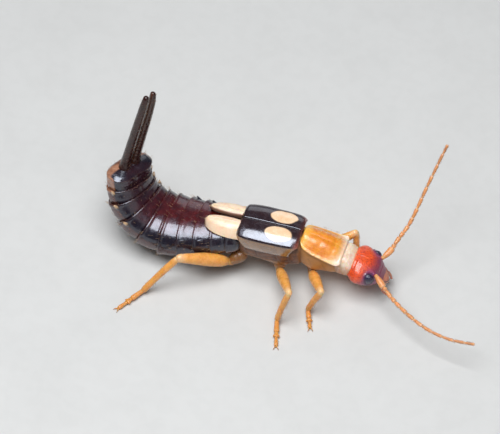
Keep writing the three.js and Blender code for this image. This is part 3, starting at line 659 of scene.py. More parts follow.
class Nodes:
    """Short ways to add nodes to one tree and link them."""

    def __init__(self, tree):
        self.tree = tree

    def add(self, kind, **settings):
        node = self.tree.nodes.new(kind)
        for name, value in settings.items():
            setattr(node, name, value)
        return node

    def feed(self, socket, value):
        if isinstance(value, bpy.types.NodeSocket):
            self.tree.links.new(value, socket)
        else:
            socket.default_value = value

    def math(self, operation, first, second, clamp=False):
        node = self.add("ShaderNodeMath", operation=operation, use_clamp=clamp)
        self.feed(node.inputs[0], first)
        self.feed(node.inputs[1], second)
        return node.outputs[0]

    def mix(self, factor, first, second):
        node = self.add("ShaderNodeMix", data_type="RGBA")
        self.feed(node.inputs[0], factor)
        self.feed(node.inputs[6], first)
        self.feed(node.inputs[7], second)
        return node.outputs[2]

    def ramp(self, value, low, high, to_low=0.0, to_high=1.0):
        node = self.add("ShaderNodeMapRange", interpolation_type="SMOOTHSTEP")
        for socket, number in zip(node.inputs, (value, low, high, to_low, to_high)):
            self.feed(socket, number)
        return node.outputs[0]

    def texture(self, kind, output, scale, settings=None, **values):
        """A texture over the object's own coordinates, which are in metres."""
        node = self.add(kind, **(settings or {}))
        place = self.add("ShaderNodeTexCoord").outputs["Object"]
        for name, value in {"Vector": place, "Scale": scale, **values}.items():
            self.feed(node.inputs[name], value)
        return node.outputs[output]

    def noise(self, scale, detail, rough=0.5):
        return self.texture("ShaderNodeTexNoise", "Fac", scale, Detail=detail, Roughness=rough)

    def cells(self, scale, feature="F1"):
        return self.texture("ShaderNodeTexVoronoi", "Distance", scale, {"feature": feature})

    def use(self, tree, *values):
        """A shared group, with values for its inputs in their order."""
        node = self.add("ShaderNodeGroup", node_tree=tree)
        for socket, value in zip(node.inputs, values):
            self.feed(socket, value)
        return node.outputs[0]

    def mottle(self, main, patches, size, amount):
        """Two colours of the cuticle, in patches of a size in millimetres."""
        return self.use(MOTTLE, colour(*main), colour(*patches), size, amount)

    def over(self, base, **layers):
        """Lays a colour or another shade over the base wherever each mark says so, in turn."""
        for mark, shade in layers.items():
            shade = colour(*shade) if isinstance(shade, tuple) else shade
            share = self.add("ShaderNodeAttribute", attribute_name=mark).outputs["Fac"]
            base = self.mix(share, base, shade)
        return base


def node_group(name, inputs, output, kind):
    """A shader node group with named inputs and one output, with its nodes and both of its ends."""
    tree = bpy.data.node_groups.new(name, "ShaderNodeTree")
    for socket, value in inputs.items():
        socket_type = "NodeSocketColor" if isinstance(value, tuple) else "NodeSocketFloat"
        item = tree.interface.new_socket(name=socket, in_out="INPUT", socket_type=socket_type)
        item.default_value = value
    tree.interface.new_socket(name=output, in_out="OUTPUT", socket_type=kind)
    nodes = Nodes(tree)
    given = nodes.add("NodeGroupInput").outputs
    return tree, nodes, given, nodes.add("NodeGroupOutput").inputs[output]


def per_size(nodes, size):
    """Texture scale for a size in millimetres, on a map measured in metres."""
    return nodes.math("DIVIDE", 1 / METRES, size)


def build_mottle():
    """Two colours in soft patches, broken up by finer speckles."""
    inputs = {
        "Colour": colour(0.5, 0.3, 0.1),
        "Patch colour": colour(0.3, 0.1, 0.05),
        "Patch size": 0.2,
        "Amount": 0.5,
    }
    tree, nodes, given, result = node_group("Cuticle mottle", inputs, "Colour", "NodeSocketColor")
    scale = per_size(nodes, given["Patch size"])
    broad = nodes.ramp(nodes.noise(scale, 3.0), 0.38, 0.66)
    fine = nodes.ramp(nodes.noise(nodes.math("MULTIPLY", scale, 5.3), 2.0), 0.42, 0.62)
    share = nodes.math("ADD", nodes.math("MULTIPLY", broad, 0.6), nodes.math("MULTIPLY", fine, 0.4))
    share = nodes.math("MULTIPLY", share, given["Amount"], clamp=True)
    nodes.feed(result, nodes.mix(share, given["Colour"], given["Patch colour"]))
    return tree


def build_relief():
    """Granules or pits of one size over soft wrinkles of another, as a height from about 0 to 1."""
    inputs = {"Grain size": 0.03, "Grain depth": 0.5, "Wrinkle size": 0.2, "Wrinkle depth": 0.5}
    tree, nodes, given, result = node_group("Cuticle relief", inputs, "Height", "NodeSocketFloat")
    grain = nodes.cells(per_size(nodes, given["Grain size"]), "SMOOTH_F1")
    grain = nodes.math("MULTIPLY", grain, given["Grain depth"])
    wrinkle = nodes.noise(per_size(nodes, given["Wrinkle size"]), 4.0, 0.55)
    wrinkle = nodes.math("MULTIPLY", wrinkle, given["Wrinkle depth"])
    nodes.feed(result, nodes.math("ADD", grain, wrinkle))
    return tree


def build_polish():
    """Gloss that changes softly over the surface, with a few duller flecks."""
    inputs = {"Smooth": 0.2, "Dull": 0.4, "Patch size": 0.3}
    tree, nodes, given, result = node_group("Cuticle polish", inputs, "Roughness", "NodeSocketFloat")
    scale = per_size(nodes, given["Patch size"])
    cloud = nodes.ramp(nodes.noise(scale, 3.0), 0.35, 0.7)
    fleck = nodes.ramp(nodes.noise(nodes.math("MULTIPLY", scale, 8.0), 1.0), 0.58, 0.72)
    share = nodes.math("ADD", cloud, nodes.math("MULTIPLY", fleck, 0.35), clamp=True)
    nodes.feed(result, nodes.ramp(share, 0.0, 1.0, given["Smooth"], given["Dull"]))
    return tree


MOTTLE = build_mottle()
RELIEF = build_relief()
POLISH = build_polish()

PLAIN_BEND = 1.54
BLUISH = (0.78, 0.84, 1.0)
WHITE = (1.0, 1.0, 1.0)
COAT_ROUGHNESS = 0.08
# How far red, green and blue light spread in soft flesh, against its depth in millimetres
FLESH_SPREAD = (1.0, 0.3, 0.12)
FLESH_DEPTH = 0.12
HEAD_PIT_SIZE = 0.075


def finish(name, paint, gloss, grain, wrinkle, bump, coat=0.0, flesh=0.0, bend=PLAIN_BEND, tint=WHITE):
    """A cuticle. Gloss is smooth, dull and patch size, and grain and wrinkle are size and depth."""
    material = bpy.data.materials.new(name)
    material.use_nodes = True
    nodes = Nodes(material.node_tree)
    shader = material.node_tree.nodes["Principled BSDF"].inputs
    nodes.feed(shader["Base Color"], paint(nodes))
    nodes.feed(shader["Roughness"], nodes.use(POLISH, *gloss))
    lift = nodes.add("ShaderNodeBump")
    lift.inputs["Distance"].default_value = bump * METRES
    nodes.feed(lift.inputs["Height"], nodes.use(RELIEF, *grain, *wrinkle))
    nodes.feed(shader["Normal"], lift.outputs["Normal"])
    shader["IOR"].default_value = bend
    shader["Specular Tint"].default_value = colour(*tint)
    shader["Coat Weight"].default_value = coat
    shader["Coat Roughness"].default_value = COAT_ROUGHNESS
    if flesh:
        shader["Subsurface Weight"].default_value = flesh
        shader["Subsurface Radius"].default_value = FLESH_SPREAD
        shader["Subsurface Scale"].default_value = FLESH_DEPTH * METRES
    return material


def head_paint(nodes):
    red = nodes.mottle((0.88, 0.11, 0.016), (0.6, 0.04, 0.01), 0.16, 0.85)
    # The middles of the pits are painted dark red, as shade in them
    between_pits = nodes.ramp(nodes.cells(1 / (HEAD_PIT_SIZE * METRES)), 0.1, 0.5, 0.3, 1.0)
    red = nodes.mix(between_pits, colour(0.26, 0.012, 0.006), red)
    # The face is darker red of its own, but the violet on the face, round the eyes and on the eye rims is
    # painted sheen
    shades = {"face": (0.15, 0.025, 0.075), "temple": (0.3, 0.06, 0.2), "eye_rim": (0.07, 0.015, 0.06)}
    return nodes.over(red, **shades, pale=(0.75, 0.4, 0.22))


def eye_paint(nodes):
    return nodes.mottle((0.01, 0.009, 0.028), (0.04, 0.026, 0.085), 0.12, 0.8)


def mouth_paint(nodes):
    base = nodes.mottle((0.55, 0.22, 0.13), (0.3, 0.09, 0.09), 0.12, 0.8)
    return nodes.over(base, jaw=(0.1, 0.02, 0.015))


def feeler_paint(nodes):
    base = nodes.mottle((0.82, 0.36, 0.13), (0.6, 0.22, 0.07), 0.15, 0.8)
    return nodes.over(base, joint=(0.85, 0.62, 0.42), dusky=(0.3, 0.16, 0.1))


def neck_paint(nodes):
    base = nodes.mottle((0.82, 0.68, 0.55), (0.68, 0.4, 0.22), 0.2, 0.8)
    # The lower part is painted darker tan as shade under the paler top
    return nodes.over(base, tan=(0.5, 0.23, 0.09))


def shield_paint(nodes):
    base = nodes.mottle((0.86, 0.3, 0.025), (0.62, 0.15, 0.012), 0.22, 0.75)
    return nodes.over(base, yellow=(0.88, 0.46, 0.07), pale=(0.9, 0.78, 0.66))


def flank_paint(nodes):
    base = nodes.mottle((0.2, 0.075, 0.03), (0.05, 0.018, 0.014), 0.3, 1.0)
    return nodes.over(base, tan=(0.6, 0.28, 0.08), seam=(0.02, 0.008, 0.008))


def case_paint(nodes):
    base = nodes.mottle((0.014, 0.004, 0.006), (0.032, 0.009, 0.008), 0.4, 0.7)
    # The tan of the lower side is painted darker than its own colour, as shade on it
    side = nodes.mottle((0.32, 0.165, 0.055), (0.16, 0.075, 0.027), 0.25, 0.85)
    spot = nodes.mottle((0.93, 0.66, 0.42), (0.86, 0.5, 0.26), 0.3, 0.7)
    return nodes.over(base, side=side, shoulder=(0.32, 0.08, 0.05), spot=spot)


def tip_paint(nodes):
    base = nodes.mottle((0.9, 0.68, 0.49), (0.85, 0.54, 0.35), 0.3, 0.8)
    return nodes.over(base, vein=(0.62, 0.4, 0.24), edge=(0.16, 0.06, 0.035))


def abdomen_paint(nodes):
    # The blue-black is partly the plates' own colour and partly painted reflection, with maroon kept to the
    # back
    dark = nodes.mottle((0.006, 0.005, 0.012), (0.02, 0.007, 0.011), 0.35, 0.8)
    maroon = nodes.mottle((0.085, 0.004, 0.004), (0.026, 0.003, 0.005), 0.3, 0.9)
    belly = nodes.mottle((0.1, 0.028, 0.014), (0.035, 0.011, 0.009), 0.35, 0.9)
    # Tan end: partly the belly's paler colour and partly a painted highlight
    tan = nodes.mottle((0.42, 0.2, 0.115), (0.2, 0.075, 0.04), 0.22, 0.9)
    base = nodes.over(dark, maroon=maroon, belly=belly, tan=tan)
    # Paler rims and points are each partly their own colour and partly a painted highlight
    return nodes.over(base, rim=(0.13, 0.055, 0.035), point=(0.5, 0.32, 0.17))


def forceps_paint(nodes):
    base = nodes.mottle((0.036, 0.009, 0.006), (0.012, 0.004, 0.005), 0.3, 0.9)
    return nodes.over(base, tooth=(0.12, 0.045, 0.025))


def leg_paint(nodes):
    base = nodes.mottle((0.82, 0.39, 0.09), (0.68, 0.26, 0.05), 0.28, 0.8)
    # The pale knees are partly their own colour and partly a painted highlight; the dark on the hips and the
    # thigh's root is painted shade, and on the claws it is their own colour
    return nodes.over(base, knee=(0.9, 0.64, 0.38), foot=(0.66, 0.27, 0.06), dark=(0.1, 0.04, 0.022))


def bristle_paint(nodes):
    return nodes.mottle((0.5, 0.34, 0.2), (0.3, 0.17, 0.09), 0.2, 0.8)


def floor_paint(nodes):
    return nodes.mottle((0.6, 0.59, 0.57), (0.56, 0.55, 0.53), 3.0, 0.6)


HEAD_FINISH = finish(
    "red head cuticle", head_paint, gloss=(0.3, 0.44, 0.2), grain=(0.035, 0.6), wrinkle=(0.15, 0.5),
    bump=0.018, coat=0.45, flesh=0.25, bend=1.62,
)
EYE_FINISH = finish(
    "faceted eye", eye_paint, gloss=(0.12, 0.22, 0.1), grain=(0.012, 0.5), wrinkle=(0.1, 0.1),
    bump=0.002, coat=0.6,
)
MOUTH_FINISH = finish(
    "mouth cuticle", mouth_paint, gloss=(0.22, 0.4, 0.1), grain=(0.02, 0.4), wrinkle=(0.1, 0.6),
    bump=0.01, coat=0.3, flesh=0.3,
)
FEELER_FINISH = finish(
    "feeler cuticle", feeler_paint, gloss=(0.3, 0.5, 0.1), grain=(0.014, 0.6), wrinkle=(0.06, 0.4),
    bump=0.006, coat=0.1, flesh=0.3,
)
NECK_FINISH = finish(
    "neck membrane", neck_paint, gloss=(0.3, 0.5, 0.15), grain=(0.03, 0.4), wrinkle=(0.12, 0.8),
    bump=0.02, coat=0.1, flesh=0.5,
)
SHIELD_FINISH = finish(
    "orange shield cuticle", shield_paint, gloss=(0.22, 0.38, 0.2), grain=(0.03, 0.45), wrinkle=(0.2, 0.6),
    bump=0.014, coat=0.3, flesh=0.3,
)
FLANK_FINISH = finish(
    "flank cuticle", flank_paint, gloss=(0.3, 0.5, 0.2), grain=(0.03, 0.4), wrinkle=(0.18, 0.8),
    bump=0.018, coat=0.15,
)
CASE_FINISH = finish(
    "dark wing case", case_paint, gloss=(0.2, 0.3, 0.25), grain=(0.05, 0.5), wrinkle=(0.3, 0.5),
    bump=0.006, coat=0.95, bend=1.85, tint=BLUISH,
)
TIP_FINISH = finish(
    "pale wing tip", tip_paint, gloss=(0.28, 0.45, 0.2), grain=(0.04, 0.4), wrinkle=(0.25, 0.7),
    bump=0.014, coat=0.25, flesh=0.25,
)
ABDOMEN_FINISH = finish(
    "glossy abdomen", abdomen_paint, gloss=(0.2, 0.32, 0.25), grain=(0.045, 0.5), wrinkle=(0.25, 0.5),
    bump=0.006, coat=0.6, bend=1.72, tint=BLUISH,
)
FORCEPS_FINISH = finish(
    "forceps cuticle", forceps_paint, gloss=(0.18, 0.32, 0.2), grain=(0.03, 0.6), wrinkle=(0.2, 0.6),
    bump=0.008, coat=0.35, bend=1.42,
)
LEG_FINISH = finish(
    "orange leg cuticle", leg_paint, gloss=(0.22, 0.4, 0.18), grain=(0.025, 0.45), wrinkle=(0.15, 0.6),
    bump=0.01, coat=0.25, flesh=0.35,
)
BRISTLE_FINISH = finish(
    "pale bristle", bristle_paint, gloss=(0.25, 0.4, 0.1), grain=(0.01, 0.3), wrinkle=(0.05, 0.3), bump=0.001
)
FLOOR_FINISH = finish(
    "plain floor", floor_paint, gloss=(0.6, 0.75, 4.0), grain=(0.4, 0.2), wrinkle=(2.0, 0.3), bump=0.02
)


# Head


def head_place(along, out=0.0, rise=0.0):
    return sloped_place(HEAD_BACK, along).moved(out, rise)


def head_point(along, out, rise):
    return head_place(along, out, rise).origin


def eye_distance(along, out, rise):
    """Distance from the middle of the nearer eye, 1 on the eye's own surface."""
    return oval_distance((along, abs(out), rise), EYE_MIDDLE, EYE_SIZE)


def head_push(along, out, rise):
    """How far the head's surface stands off its plain rounded form at one place."""
    out = abs(out)
    top = smooth_step(0.05, 0.25, rise)
    below = smooth_step(0.1, 0.25, -rise)
    crown = top * fade(0.6, 0.7, along)
    eye = eye_distance(along, out, rise)
    socket = math.dist((along, out, rise), SOCKET)
    # The seam along the crown, and its arms that part in front
    push = -0.022 * crown * bell(out, 0.02)
    push += 0.012 * crown * (bell(out - 0.28, 0.2) - 0.4)
    arm = out - max(along - 0.64, 0.0) * 1.1
    push -= 0.018 * top * bell(arm, 0.022) * smooth_step(0.62, 0.66, along) * fade(0.92, 1.0, along)
    # The hollow and the swellings of the forehead and cheeks, and the rim at the neck
    push -= 0.03 * top * bell(along - 0.95, 0.16) * bell(out, 0.24)
    push += 0.018 * top * bell(along - 0.86, 0.14) * bell(out - 0.34, 0.12)
    push += 0.02 * bell(along - 0.34, 0.2) * smooth_step(0.5, 0.8, out)
    push += 0.014 * bell(along - 0.05, 0.03) - 0.014 * bell(along - 0.13, 0.035)
    # Rims around the eyes and the feelers' sockets
    push += 0.026 * bell(eye - 1.12, 0.1) - 0.014 * bell(eye - 1.42, 0.14)
    push += 0.05 * bell(socket, 0.17) + 0.02 * bell(socket - 0.125, 0.03) - 0.06 * bell(socket, 0.075)
    # Grooves over the upper lip and under the cheeks
    push -= 0.02 * top * bell(along - 1.2, 0.022) * fade(0.34, 0.44, out)
    return push - 0.02 * below * bell(out - 0.3, 0.025) * smooth_step(0.2, 0.4, along)


def make_head():
    def ring(along):
        def push(_, out, rise):
            return head_push(along, out, rise) + 0.006 * wobble((along, out, rise), 0.16, 3.0)

        def by_eye(start, width):
            return lambda _, out, rise: bell(max(eye_distance(along, out, rise) - start, 0), width)

        # Violet on the face, on the temples round the eyes and on the eye rims is painted sheen; the face is
        # also darker red of its own
        temple = by_eye(1.1, 0.8)
        marks = {
            "face": lambda _, out, rise: 0.9 * smooth_step(0.5, 1.05, along + 0.3 * abs(out) - 0.1),
            "temple": lambda *spot: 0.75 * temple(*spot) * smooth_step(0.5, 0.8, along),
            "eye_rim": by_eye(1.05, 0.3),
            "pale": 0.5 * fade(0.0, 0.08, along),
        }
        spots = section(*read_rows(HEAD_ROWS, along), sides=200, power=HEAD_POWER)
        return head_place(along), spots, push, marks

    shell = Shell()
    shell.skin(ring(along) for along in along_rows(HEAD_ROWS, steps=150))
    shell.make("head_shell", HEAD_FINISH, "red_shell", "head")


def ball_mesh(subdivisions):
    work = bmesh.new()
    bmesh.ops.create_icosphere(work, subdivisions=subdivisions, radius=1.0)
    points = np.array([corner.co for corner in work.verts])
    faces = [tuple(corner.index for corner in face.verts) for face in work.faces]
    work.free()
    return points, faces


def make_eye(name, side):
    """A domed eye whose surface is a net of small round facets."""
    facet_radius, facet_depth = 0.085, 0.035
    middles, _ = ball_mesh(subdivisions=4)
    points, faces = ball_mesh(subdivisions=6)
    nearest = np.sqrt(np.maximum(2 - 2 * np.max(points @ middles.T, axis=1), 0))
    dome = 1 - np.clip(nearest / facet_radius, 0, 1) ** 2
    shaped = points * (1 + facet_depth * (dome[:, None] - 1)) * EYE_SIZE
    along, out, rise = EYE_MIDDLE
    place = head_place(along, side * out, rise)
    shell = Shell()
    shell.add(place.origin + shaped @ np.array([place.along, place.across, place.up]), faces)
    shell.make(f"faceted_eye_{name}", EYE_FINISH, "eye_surface", f"eye_{name}")


def add_upper_lip(shell):
    """A rounded flap in front of the face."""
    root, length, half_width = 1.38, 0.32, 0.31

    def flap(share, width):
        across = -1 + 2 * width
        half = half_width * math.sqrt(max(1 - (share * 0.94) ** 3.2, 0.02))
        rise = 0.075 - 0.15 * share**1.6 - 0.07 * across**2 + 0.02 * bell(across, 0.3)
        return head_point(root + length * share, across * half, rise), {}

    shell.sheet(flap, rows=16, columns=24, thickness=0.07)


def add_lower_lip(shell):
    """The lower lip with its cleft, and the block behind it."""

    def cleft(_, out, rise):
        return -0.03 * bell(out, 0.03) * (rise < 0)

    def ring(along):
        half, above, below = read_rows(LOWER_LIP_ROWS, along)
        reach = (above + below) / 2
        spots = section(half, reach, reach, sides=48, power=2.4)
        return head_place(along, 0, (above - below) / 2), spots, cleft

    shell.skin(ring(along) for along in along_rows(LOWER_LIP_ROWS, steps=24))


def add_jaw(shell, side):
    """A jaw, curved to a dark point under the lip."""
    root, length, radius, steps = 1.3, 0.42, 0.12, 18

    def ring(share):
        out = side * (0.33 - 0.3 * share**1.8 + 0.05 * math.sin(math.pi * share))
        place = head_place(root + length * share, out, -0.07 - 0.05 * share)
        marks = {"jaw": smooth_step(0.2, 0.8, share)}
        return place, circle(radius * (1 - 0.8 * share**1.5), sides=20), None, marks

    shell.skin(ring(step / steps) for step in range(steps + 1))


def add_palp(shell, side, spots, radii):
    """A run of short joints, each slim at its root and fuller towards its end."""
    points = [head_point(along, side * out, rise) for along, out, rise in spots]
    for start, end, radius in zip(points, points[1:], radii):
        limb(shell, start, end, PALP_OUTLINE, sides=16, steps=14, scale=radius)


def make_mouthparts():
    shell = Shell()
    add_upper_lip(shell)
    add_lower_lip(shell)
    for _, side in SIDES:
        add_jaw(shell, side)
        for *spots, radii in PALPS:
            add_palp(shell, side, spots, radii)
    shell.make("jaws_and_palps", MOUTH_FINISH, "mouth_shell", "mouthparts")


def smooth_way(points, samples):
    """Points evenly spaced along a smooth curve through the given ones, with its directions."""
    fine_steps = 200
    points = [np.array(point, float) for point in points]
    run = [points[0] * 2 - points[1], *points, points[-1] * 2 - points[-2]]
    line = []
    for index in range(len(points) - 1):
        before, start, end, after = run[index : index + 4]
        gaps = [np.linalg.norm(b - a) ** 0.5 for a, b in ((before, start), (start, end), (end, after))]
        pull_in = (start - before) / gaps[0] - (end - before) / (gaps[0] + gaps[1]) + (end - start) / gaps[1]
        pull_out = (end - start) / gaps[1] - (after - start) / (gaps[1] + gaps[2]) + (after - end) / gaps[2]
        for t in np.linspace(0, 1, fine_steps, endpoint=index == len(points) - 2):
            line.append(smooth_curve(start, end, pull_in * gaps[1], pull_out * gaps[1], t))
    line = np.array(line)
    lengths = np.concatenate([[0], np.cumsum(np.linalg.norm(np.diff(line, axis=0), axis=1))])
    even = np.linspace(0, lengths[-1], samples)
    spots = np.stack([np.interp(even, lengths, line[:, axis]) for axis in range(3)], axis=1)
    ways = np.gradient(spots, axis=0)
    return spots, ways / np.linalg.norm(ways, axis=1, keepdims=True)


FEELER_PATHS = {
    side: smooth_way([head_point(SOCKET[0], side * SOCKET[1], SOCKET[2]), *way], samples=900)
    for side, way in FEELER_WAYS.items()
}


def feeler_place(side, share):
    spots, ways = FEELER_PATHS[side]
    at = min(max(share, 0.0), 1.0) * (len(spots) - 1)
    low = min(int(at), len(spots) - 2)
    part = at - low
    spot, way = (run[low] * (1 - part) + run[low + 1] * part for run in (spots, ways))
    return place_facing(spot, way)


def feeler_radius(share):
    return FEELER_RADIUS - FEELER_TAPER * share**0.6


def make_feeler(name, side):
    shell = Shell()
    root_radius, knob_radius = 0.135, 0.085
    total = sum(FEELER_JOINTS)
    done = 0.0
    for joint, length in enumerate(FEELER_JOINTS):
        start, end = done / total, (done + length) / total
        done += length
        full = feeler_radius((start + end) / 2) if joint else root_radius

        def ring(part):
            (radius,) = read_rows(FEELER_OUTLINE, part)
            place = feeler_place(side, start + (end - start) * (part * 1.02 - 0.01))
            marks = {
                "joint": 0.6 * smooth_step(0.86, 1.0, part) + 0.4 * fade(0.0, 0.1, part),
                "dusky": 0.45 * smooth_step(0.35, 1.0, start) * bell(part - 0.5, 0.4),
            }
            return place, circle(radius * full, sides=18), None, marks

        shell.skin(ring(part) for part in along_rows(FEELER_OUTLINE, steps=22))
    knob(shell, feeler_place(side, 0).origin, knob_radius, sides=16, steps=10)
    shell.make(f"feeler_{name}", FEELER_FINISH, "antenna_shell", f"antenna_{name}")


# Body


def body_skin(rows, shape, mark, sides, steps, power):
    """A body piece from a table of half width, top and bottom."""

    def ring(x):
        half, top, bottom = read_rows(rows, x)
        middle, reach = (top + bottom) / 2, (top - bottom) / 2
        place = Place((x, 0, middle), FORWARD, LEFTWARD, UPWARD)

        def here(rule):
            return lambda _, out, up: rule(x, out, up + middle)

        marks = {name: here(rule) for name, rule in mark.items()}
        return place, section(half, reach, reach, sides, power), here(shape), marks

    shell = Shell()
    shell.skin(ring(x) for x in along_rows(rows, steps))
    return shell


def line_distance(x, z, line):
    start, end = np.array(line[:2]), np.array(line[2:])
    way = end - start
    share = min(max(np.dot((x - start[0], z - start[1]), way) / np.dot(way, way), 0.0), 1.0)
    return math.dist((x, z), start + way * share)


def flank_groove(x, y, z):
    """How deep a place lies in the grooves between the plates, from nothing to 1."""
    depth = max(bell(line_distance(x, z, line), 0.035) for line in FLANK_GROOVES)
    return depth * smooth_step(0.2, 0.45, abs(y)) * (1 - 0.6 * smooth_step(0.0, 0.4, x))


def flank_shape(x, y, z):
    """Grooves between the plates of the sides, folds underneath, and swellings over the hips."""
    push = 0.02 * wobble((x, y, z), 0.35, 7.0) - 0.022 * flank_groove(x, y, z)
    push -= 0.03 * fade(1.0, 1.15, z) * sum(bell(x - fold, 0.03) for fold in (-1.5, -0.25, 0.2))
    hips = [(hip[0], 0.55, hip[2]) for hip, *_ in LEGS.values()]
    return push + sum(0.04 * bell(math.dist((x, abs(y), z), hip), 0.3) for hip in hips)


def flank_tan(x, _, z):
    """Where the sides are pale tan: low down, round the hips and on the prothorax."""
    hips = max(bell(x - hip[0] + 0.05, 0.34) for hip, *_ in LEGS.values())
    return min(1.0, fade(1.05, 1.55, z) * (0.35 + 0.6 * hips) + 0.75 * smooth_step(-0.1, 0.35, x))


def make_flanks(name, rows, sides, steps):
    marks = {"tan": flank_tan, "seam": lambda x, y, z: 0.4 * flank_groove(x, y, z)}
    shell = body_skin(rows, flank_shape, marks, sides, steps, power=2.4)
    shell.make(f"{name}_flanks", FLANK_FINISH, "underbody", name)


def make_neck():
    fold_depth, fold_rate = 0.005, 50

    def folds(x, y, z):
        fold = fold_depth * math.sin(x * fold_rate + 4 * wobble((x, y, z), 0.3))
        return fold + 0.008 * wobble((x, y, z), 0.2, 5.0)

    # The neck's lower part is painted darker tan, as shade under its paler top
    marks = {"tan": lambda x, y, z: 0.8 * fade(1.3, 1.8, z)}
    shell = body_skin(NECK_ROWS, folds, marks, sides=110, steps=70, power=2.8)
    shell.make("neck_membrane", NECK_FINISH, "neck_membrane", "neck")


def make_shield():
    """The shield over the prothorax: an orange disc with pale turned-up rims."""
    start, end = SHIELD_ROWS[0][0], SHIELD_ROWS[-1][0]

    def disc(share, width):
        distance = start + (end - start) * share
        half, rise, drop = read_rows(SHIELD_ROWS, distance)
        # Points stand a little closer together towards the edges
        across = -0.45 * math.cos(math.pi * width) + 0.55 * (2 * width - 1)
        out = abs(across)
        rise_share, lift = read_rows(SHIELD_PROFILE, across)
        height = rise * rise_share + lift - drop * across**2
        # The groove along the middle, the one across the front, the front rim and the two pits
        height -= 0.01 * bell(across, 0.03) * smooth_step(0.15, 0.3, distance) * fade(1.3, 1.5, distance)
        height -= 0.014 * bell(distance - 1.3, 0.09) * fade(0.6, 0.8, out)
        height += 0.02 * bell(distance - 1.74, 0.05)
        height -= 0.02 * bell(math.dist((distance, out), (0.75, 0.42)), 0.1)
        point = sloped_place(SHIELD_START, distance).point(across * half, height)
        rear, edge = fade(0.1, 0.4, distance), smooth_step(0.84, 0.96, out)
        rim = smooth_step(0.9, 0.99, out) * smooth_step(0.1, 0.5, distance)
        corner = bell(oval_distance((distance, out), (1.72, 0.95), (1.3, 1.0)), 0.3)
        marks = {
            "pale": min(0.8, 0.22 * rim + 0.55 * smooth_step(1.45, 1.76, distance) + 0.4 * corner),
            "yellow": min(1.0, 0.6 * edge + 0.8 * rear + 0.35 * smooth_step(1.1, 1.5, distance)),
        }
        return point + np.array([0, 0, 0.006 * wobble(point, 0.2)]), marks

    shell = Shell()
    shell.sheet(disc, rows=110, columns=130, thickness=0.05)
    shell.make("shield_plate", SHIELD_FINISH, "orange_shell", "pronotum")


def make_wing_case(name, side):
    """A wing case, from the seam over the ridge to its lower edge, with one pale spot."""
    profile = numbered(CASE_PROFILE)

    def sheath(share, part):
        front = 0.02 - 0.34 * smooth_step(0.6, 1.0, part) ** 1.6 - 0.04 * fade(0.0, 0.12, part)
        rear = -2.52 + 0.3 * smooth_step(0.72, 1.0, part) ** 1.8 + 0.05 * fade(0.0, 0.2, part)
        x = front + (rear - front) * share
        width, drop = read_rows(CASE_ROWS, x)
        out, rise = read_rows(profile, part * (len(profile) - 1))
        narrowing = (width - 1) * smooth_step(0.08, 0.3, out)
        y, z = side * out * (1 + narrowing), BACK_HEIGHT + rise + drop
        # Both ends turn down on the back, and inward below the ridge
        end = fade(0.0, 0.035, min(share, 1 - share))
        z -= 0.05 * end * fade(0.6, 0.75, part)
        y -= side * 0.04 * end * smooth_step(0.55, 0.75, part)
        z += 0.012 * wobble((x, y, z), 0.55, 11.0) * smooth_step(0.04, 0.2, abs(y))
        height = z - BACK_HEIGHT
        oval = oval_distance((x, abs(y)), SPOT_MIDDLE, SPOT_SIZE) + 0.07 * wobble((x, y, 0), 0.25, 2.0)
        marks = {
            "spot": fade(0.93, 1.05, oval),
            # Tan lower side, whose colour is painted darker as shade; the tan fades to half towards the lower
            # edge
            "side": smooth_step(0.2, 0.26, -height) * (1 - 0.5 * smooth_step(0.76, 0.86, -height)),
            "shoulder": 0.8 * smooth_step(-0.24, -0.02, x) * bell(height + 0.22, 0.14),
        }
        return (x, y, z), marks

    shell = Shell()
    shell.sheet(sheath, rows=120, columns=110, thickness=0.055)
    shell.make(f"wing_case_shell_{name}", CASE_FINISH, "case_shell", f"wing_case_{name}")


def make_wing_tip(name, side):
    """The leathery end of the folded hind wing, with its raised main vein."""
    profile = numbered(TIP_PROFILE)
    first, last = TIP_ROWS[0][0], TIP_ROWS[-1][0]
    depth, depth_loss = 0.42, 0.1

    def flap(share, part):
        distance = first + (last - first) * share
        inner, outer, drop = read_rows(TIP_ROWS, distance)
        width, rise = read_rows(profile, part * (len(profile) - 1))
        out = inner + (outer - inner) * width
        height = rise * (depth - depth_loss * share) - 0.1 * fade(0.0, 0.1, 1 - share) ** 2
        point = np.array([-distance, side * out, BACK_HEIGHT - 0.06 + drop + height])
        point[2] += 0.008 * wobble(point, 0.25, 5.0)
        edge = 0.9 * fade(0.02, 0.14, width) + 0.6 * fade(0.01, 0.05, 1 - share)
        return point, {"vein": 0.4 * bell(width - 0.25, 0.04) * (rise > -0.05), "edge": min(1.0, edge)}

    shell = Shell()
    shell.sheet(flap, rows=90, columns=100, thickness=0.05)
    shell.make(f"folded_wing_{name}", TIP_FINISH, "wing_membrane", f"wing_tip_{name}")


# Abdomen and forceps


def segment_push(segment, share, angle):
    """The plates, folds and humps of one abdomen segment, as a push outward."""
    across, rise = math.cos(angle), math.sin(angle)
    push = 0.008 * wobble((across, rise, segment * 3 + share), 0.5, 1.0)
    # The step down to the belly plate and the fold above it, the seam of the back, and the groove by the rim
    push -= 0.035 * smooth_step(0.24, 0.36, -rise) + 0.03 * bell(rise + 0.3, 0.05)
    push -= 0.012 * bell(angle - math.pi / 2, 0.02) * smooth_step(0.1, 0.3, share)
    push -= 0.006 * bell(share - 0.16, 0.05)
    if segment == LAST_SEGMENT:
        hump = oval_distance((share, abs(across)), (0.62, 0.42), (1.2, 1.0))
        push += 0.09 * bell(hump, 0.2) * smooth_step(0.2, 0.6, rise)
        push -= 0.05 * bell(across, 0.12) * smooth_step(0.3, 0.6, rise) * smooth_step(0.3, 0.9, share)
    return push


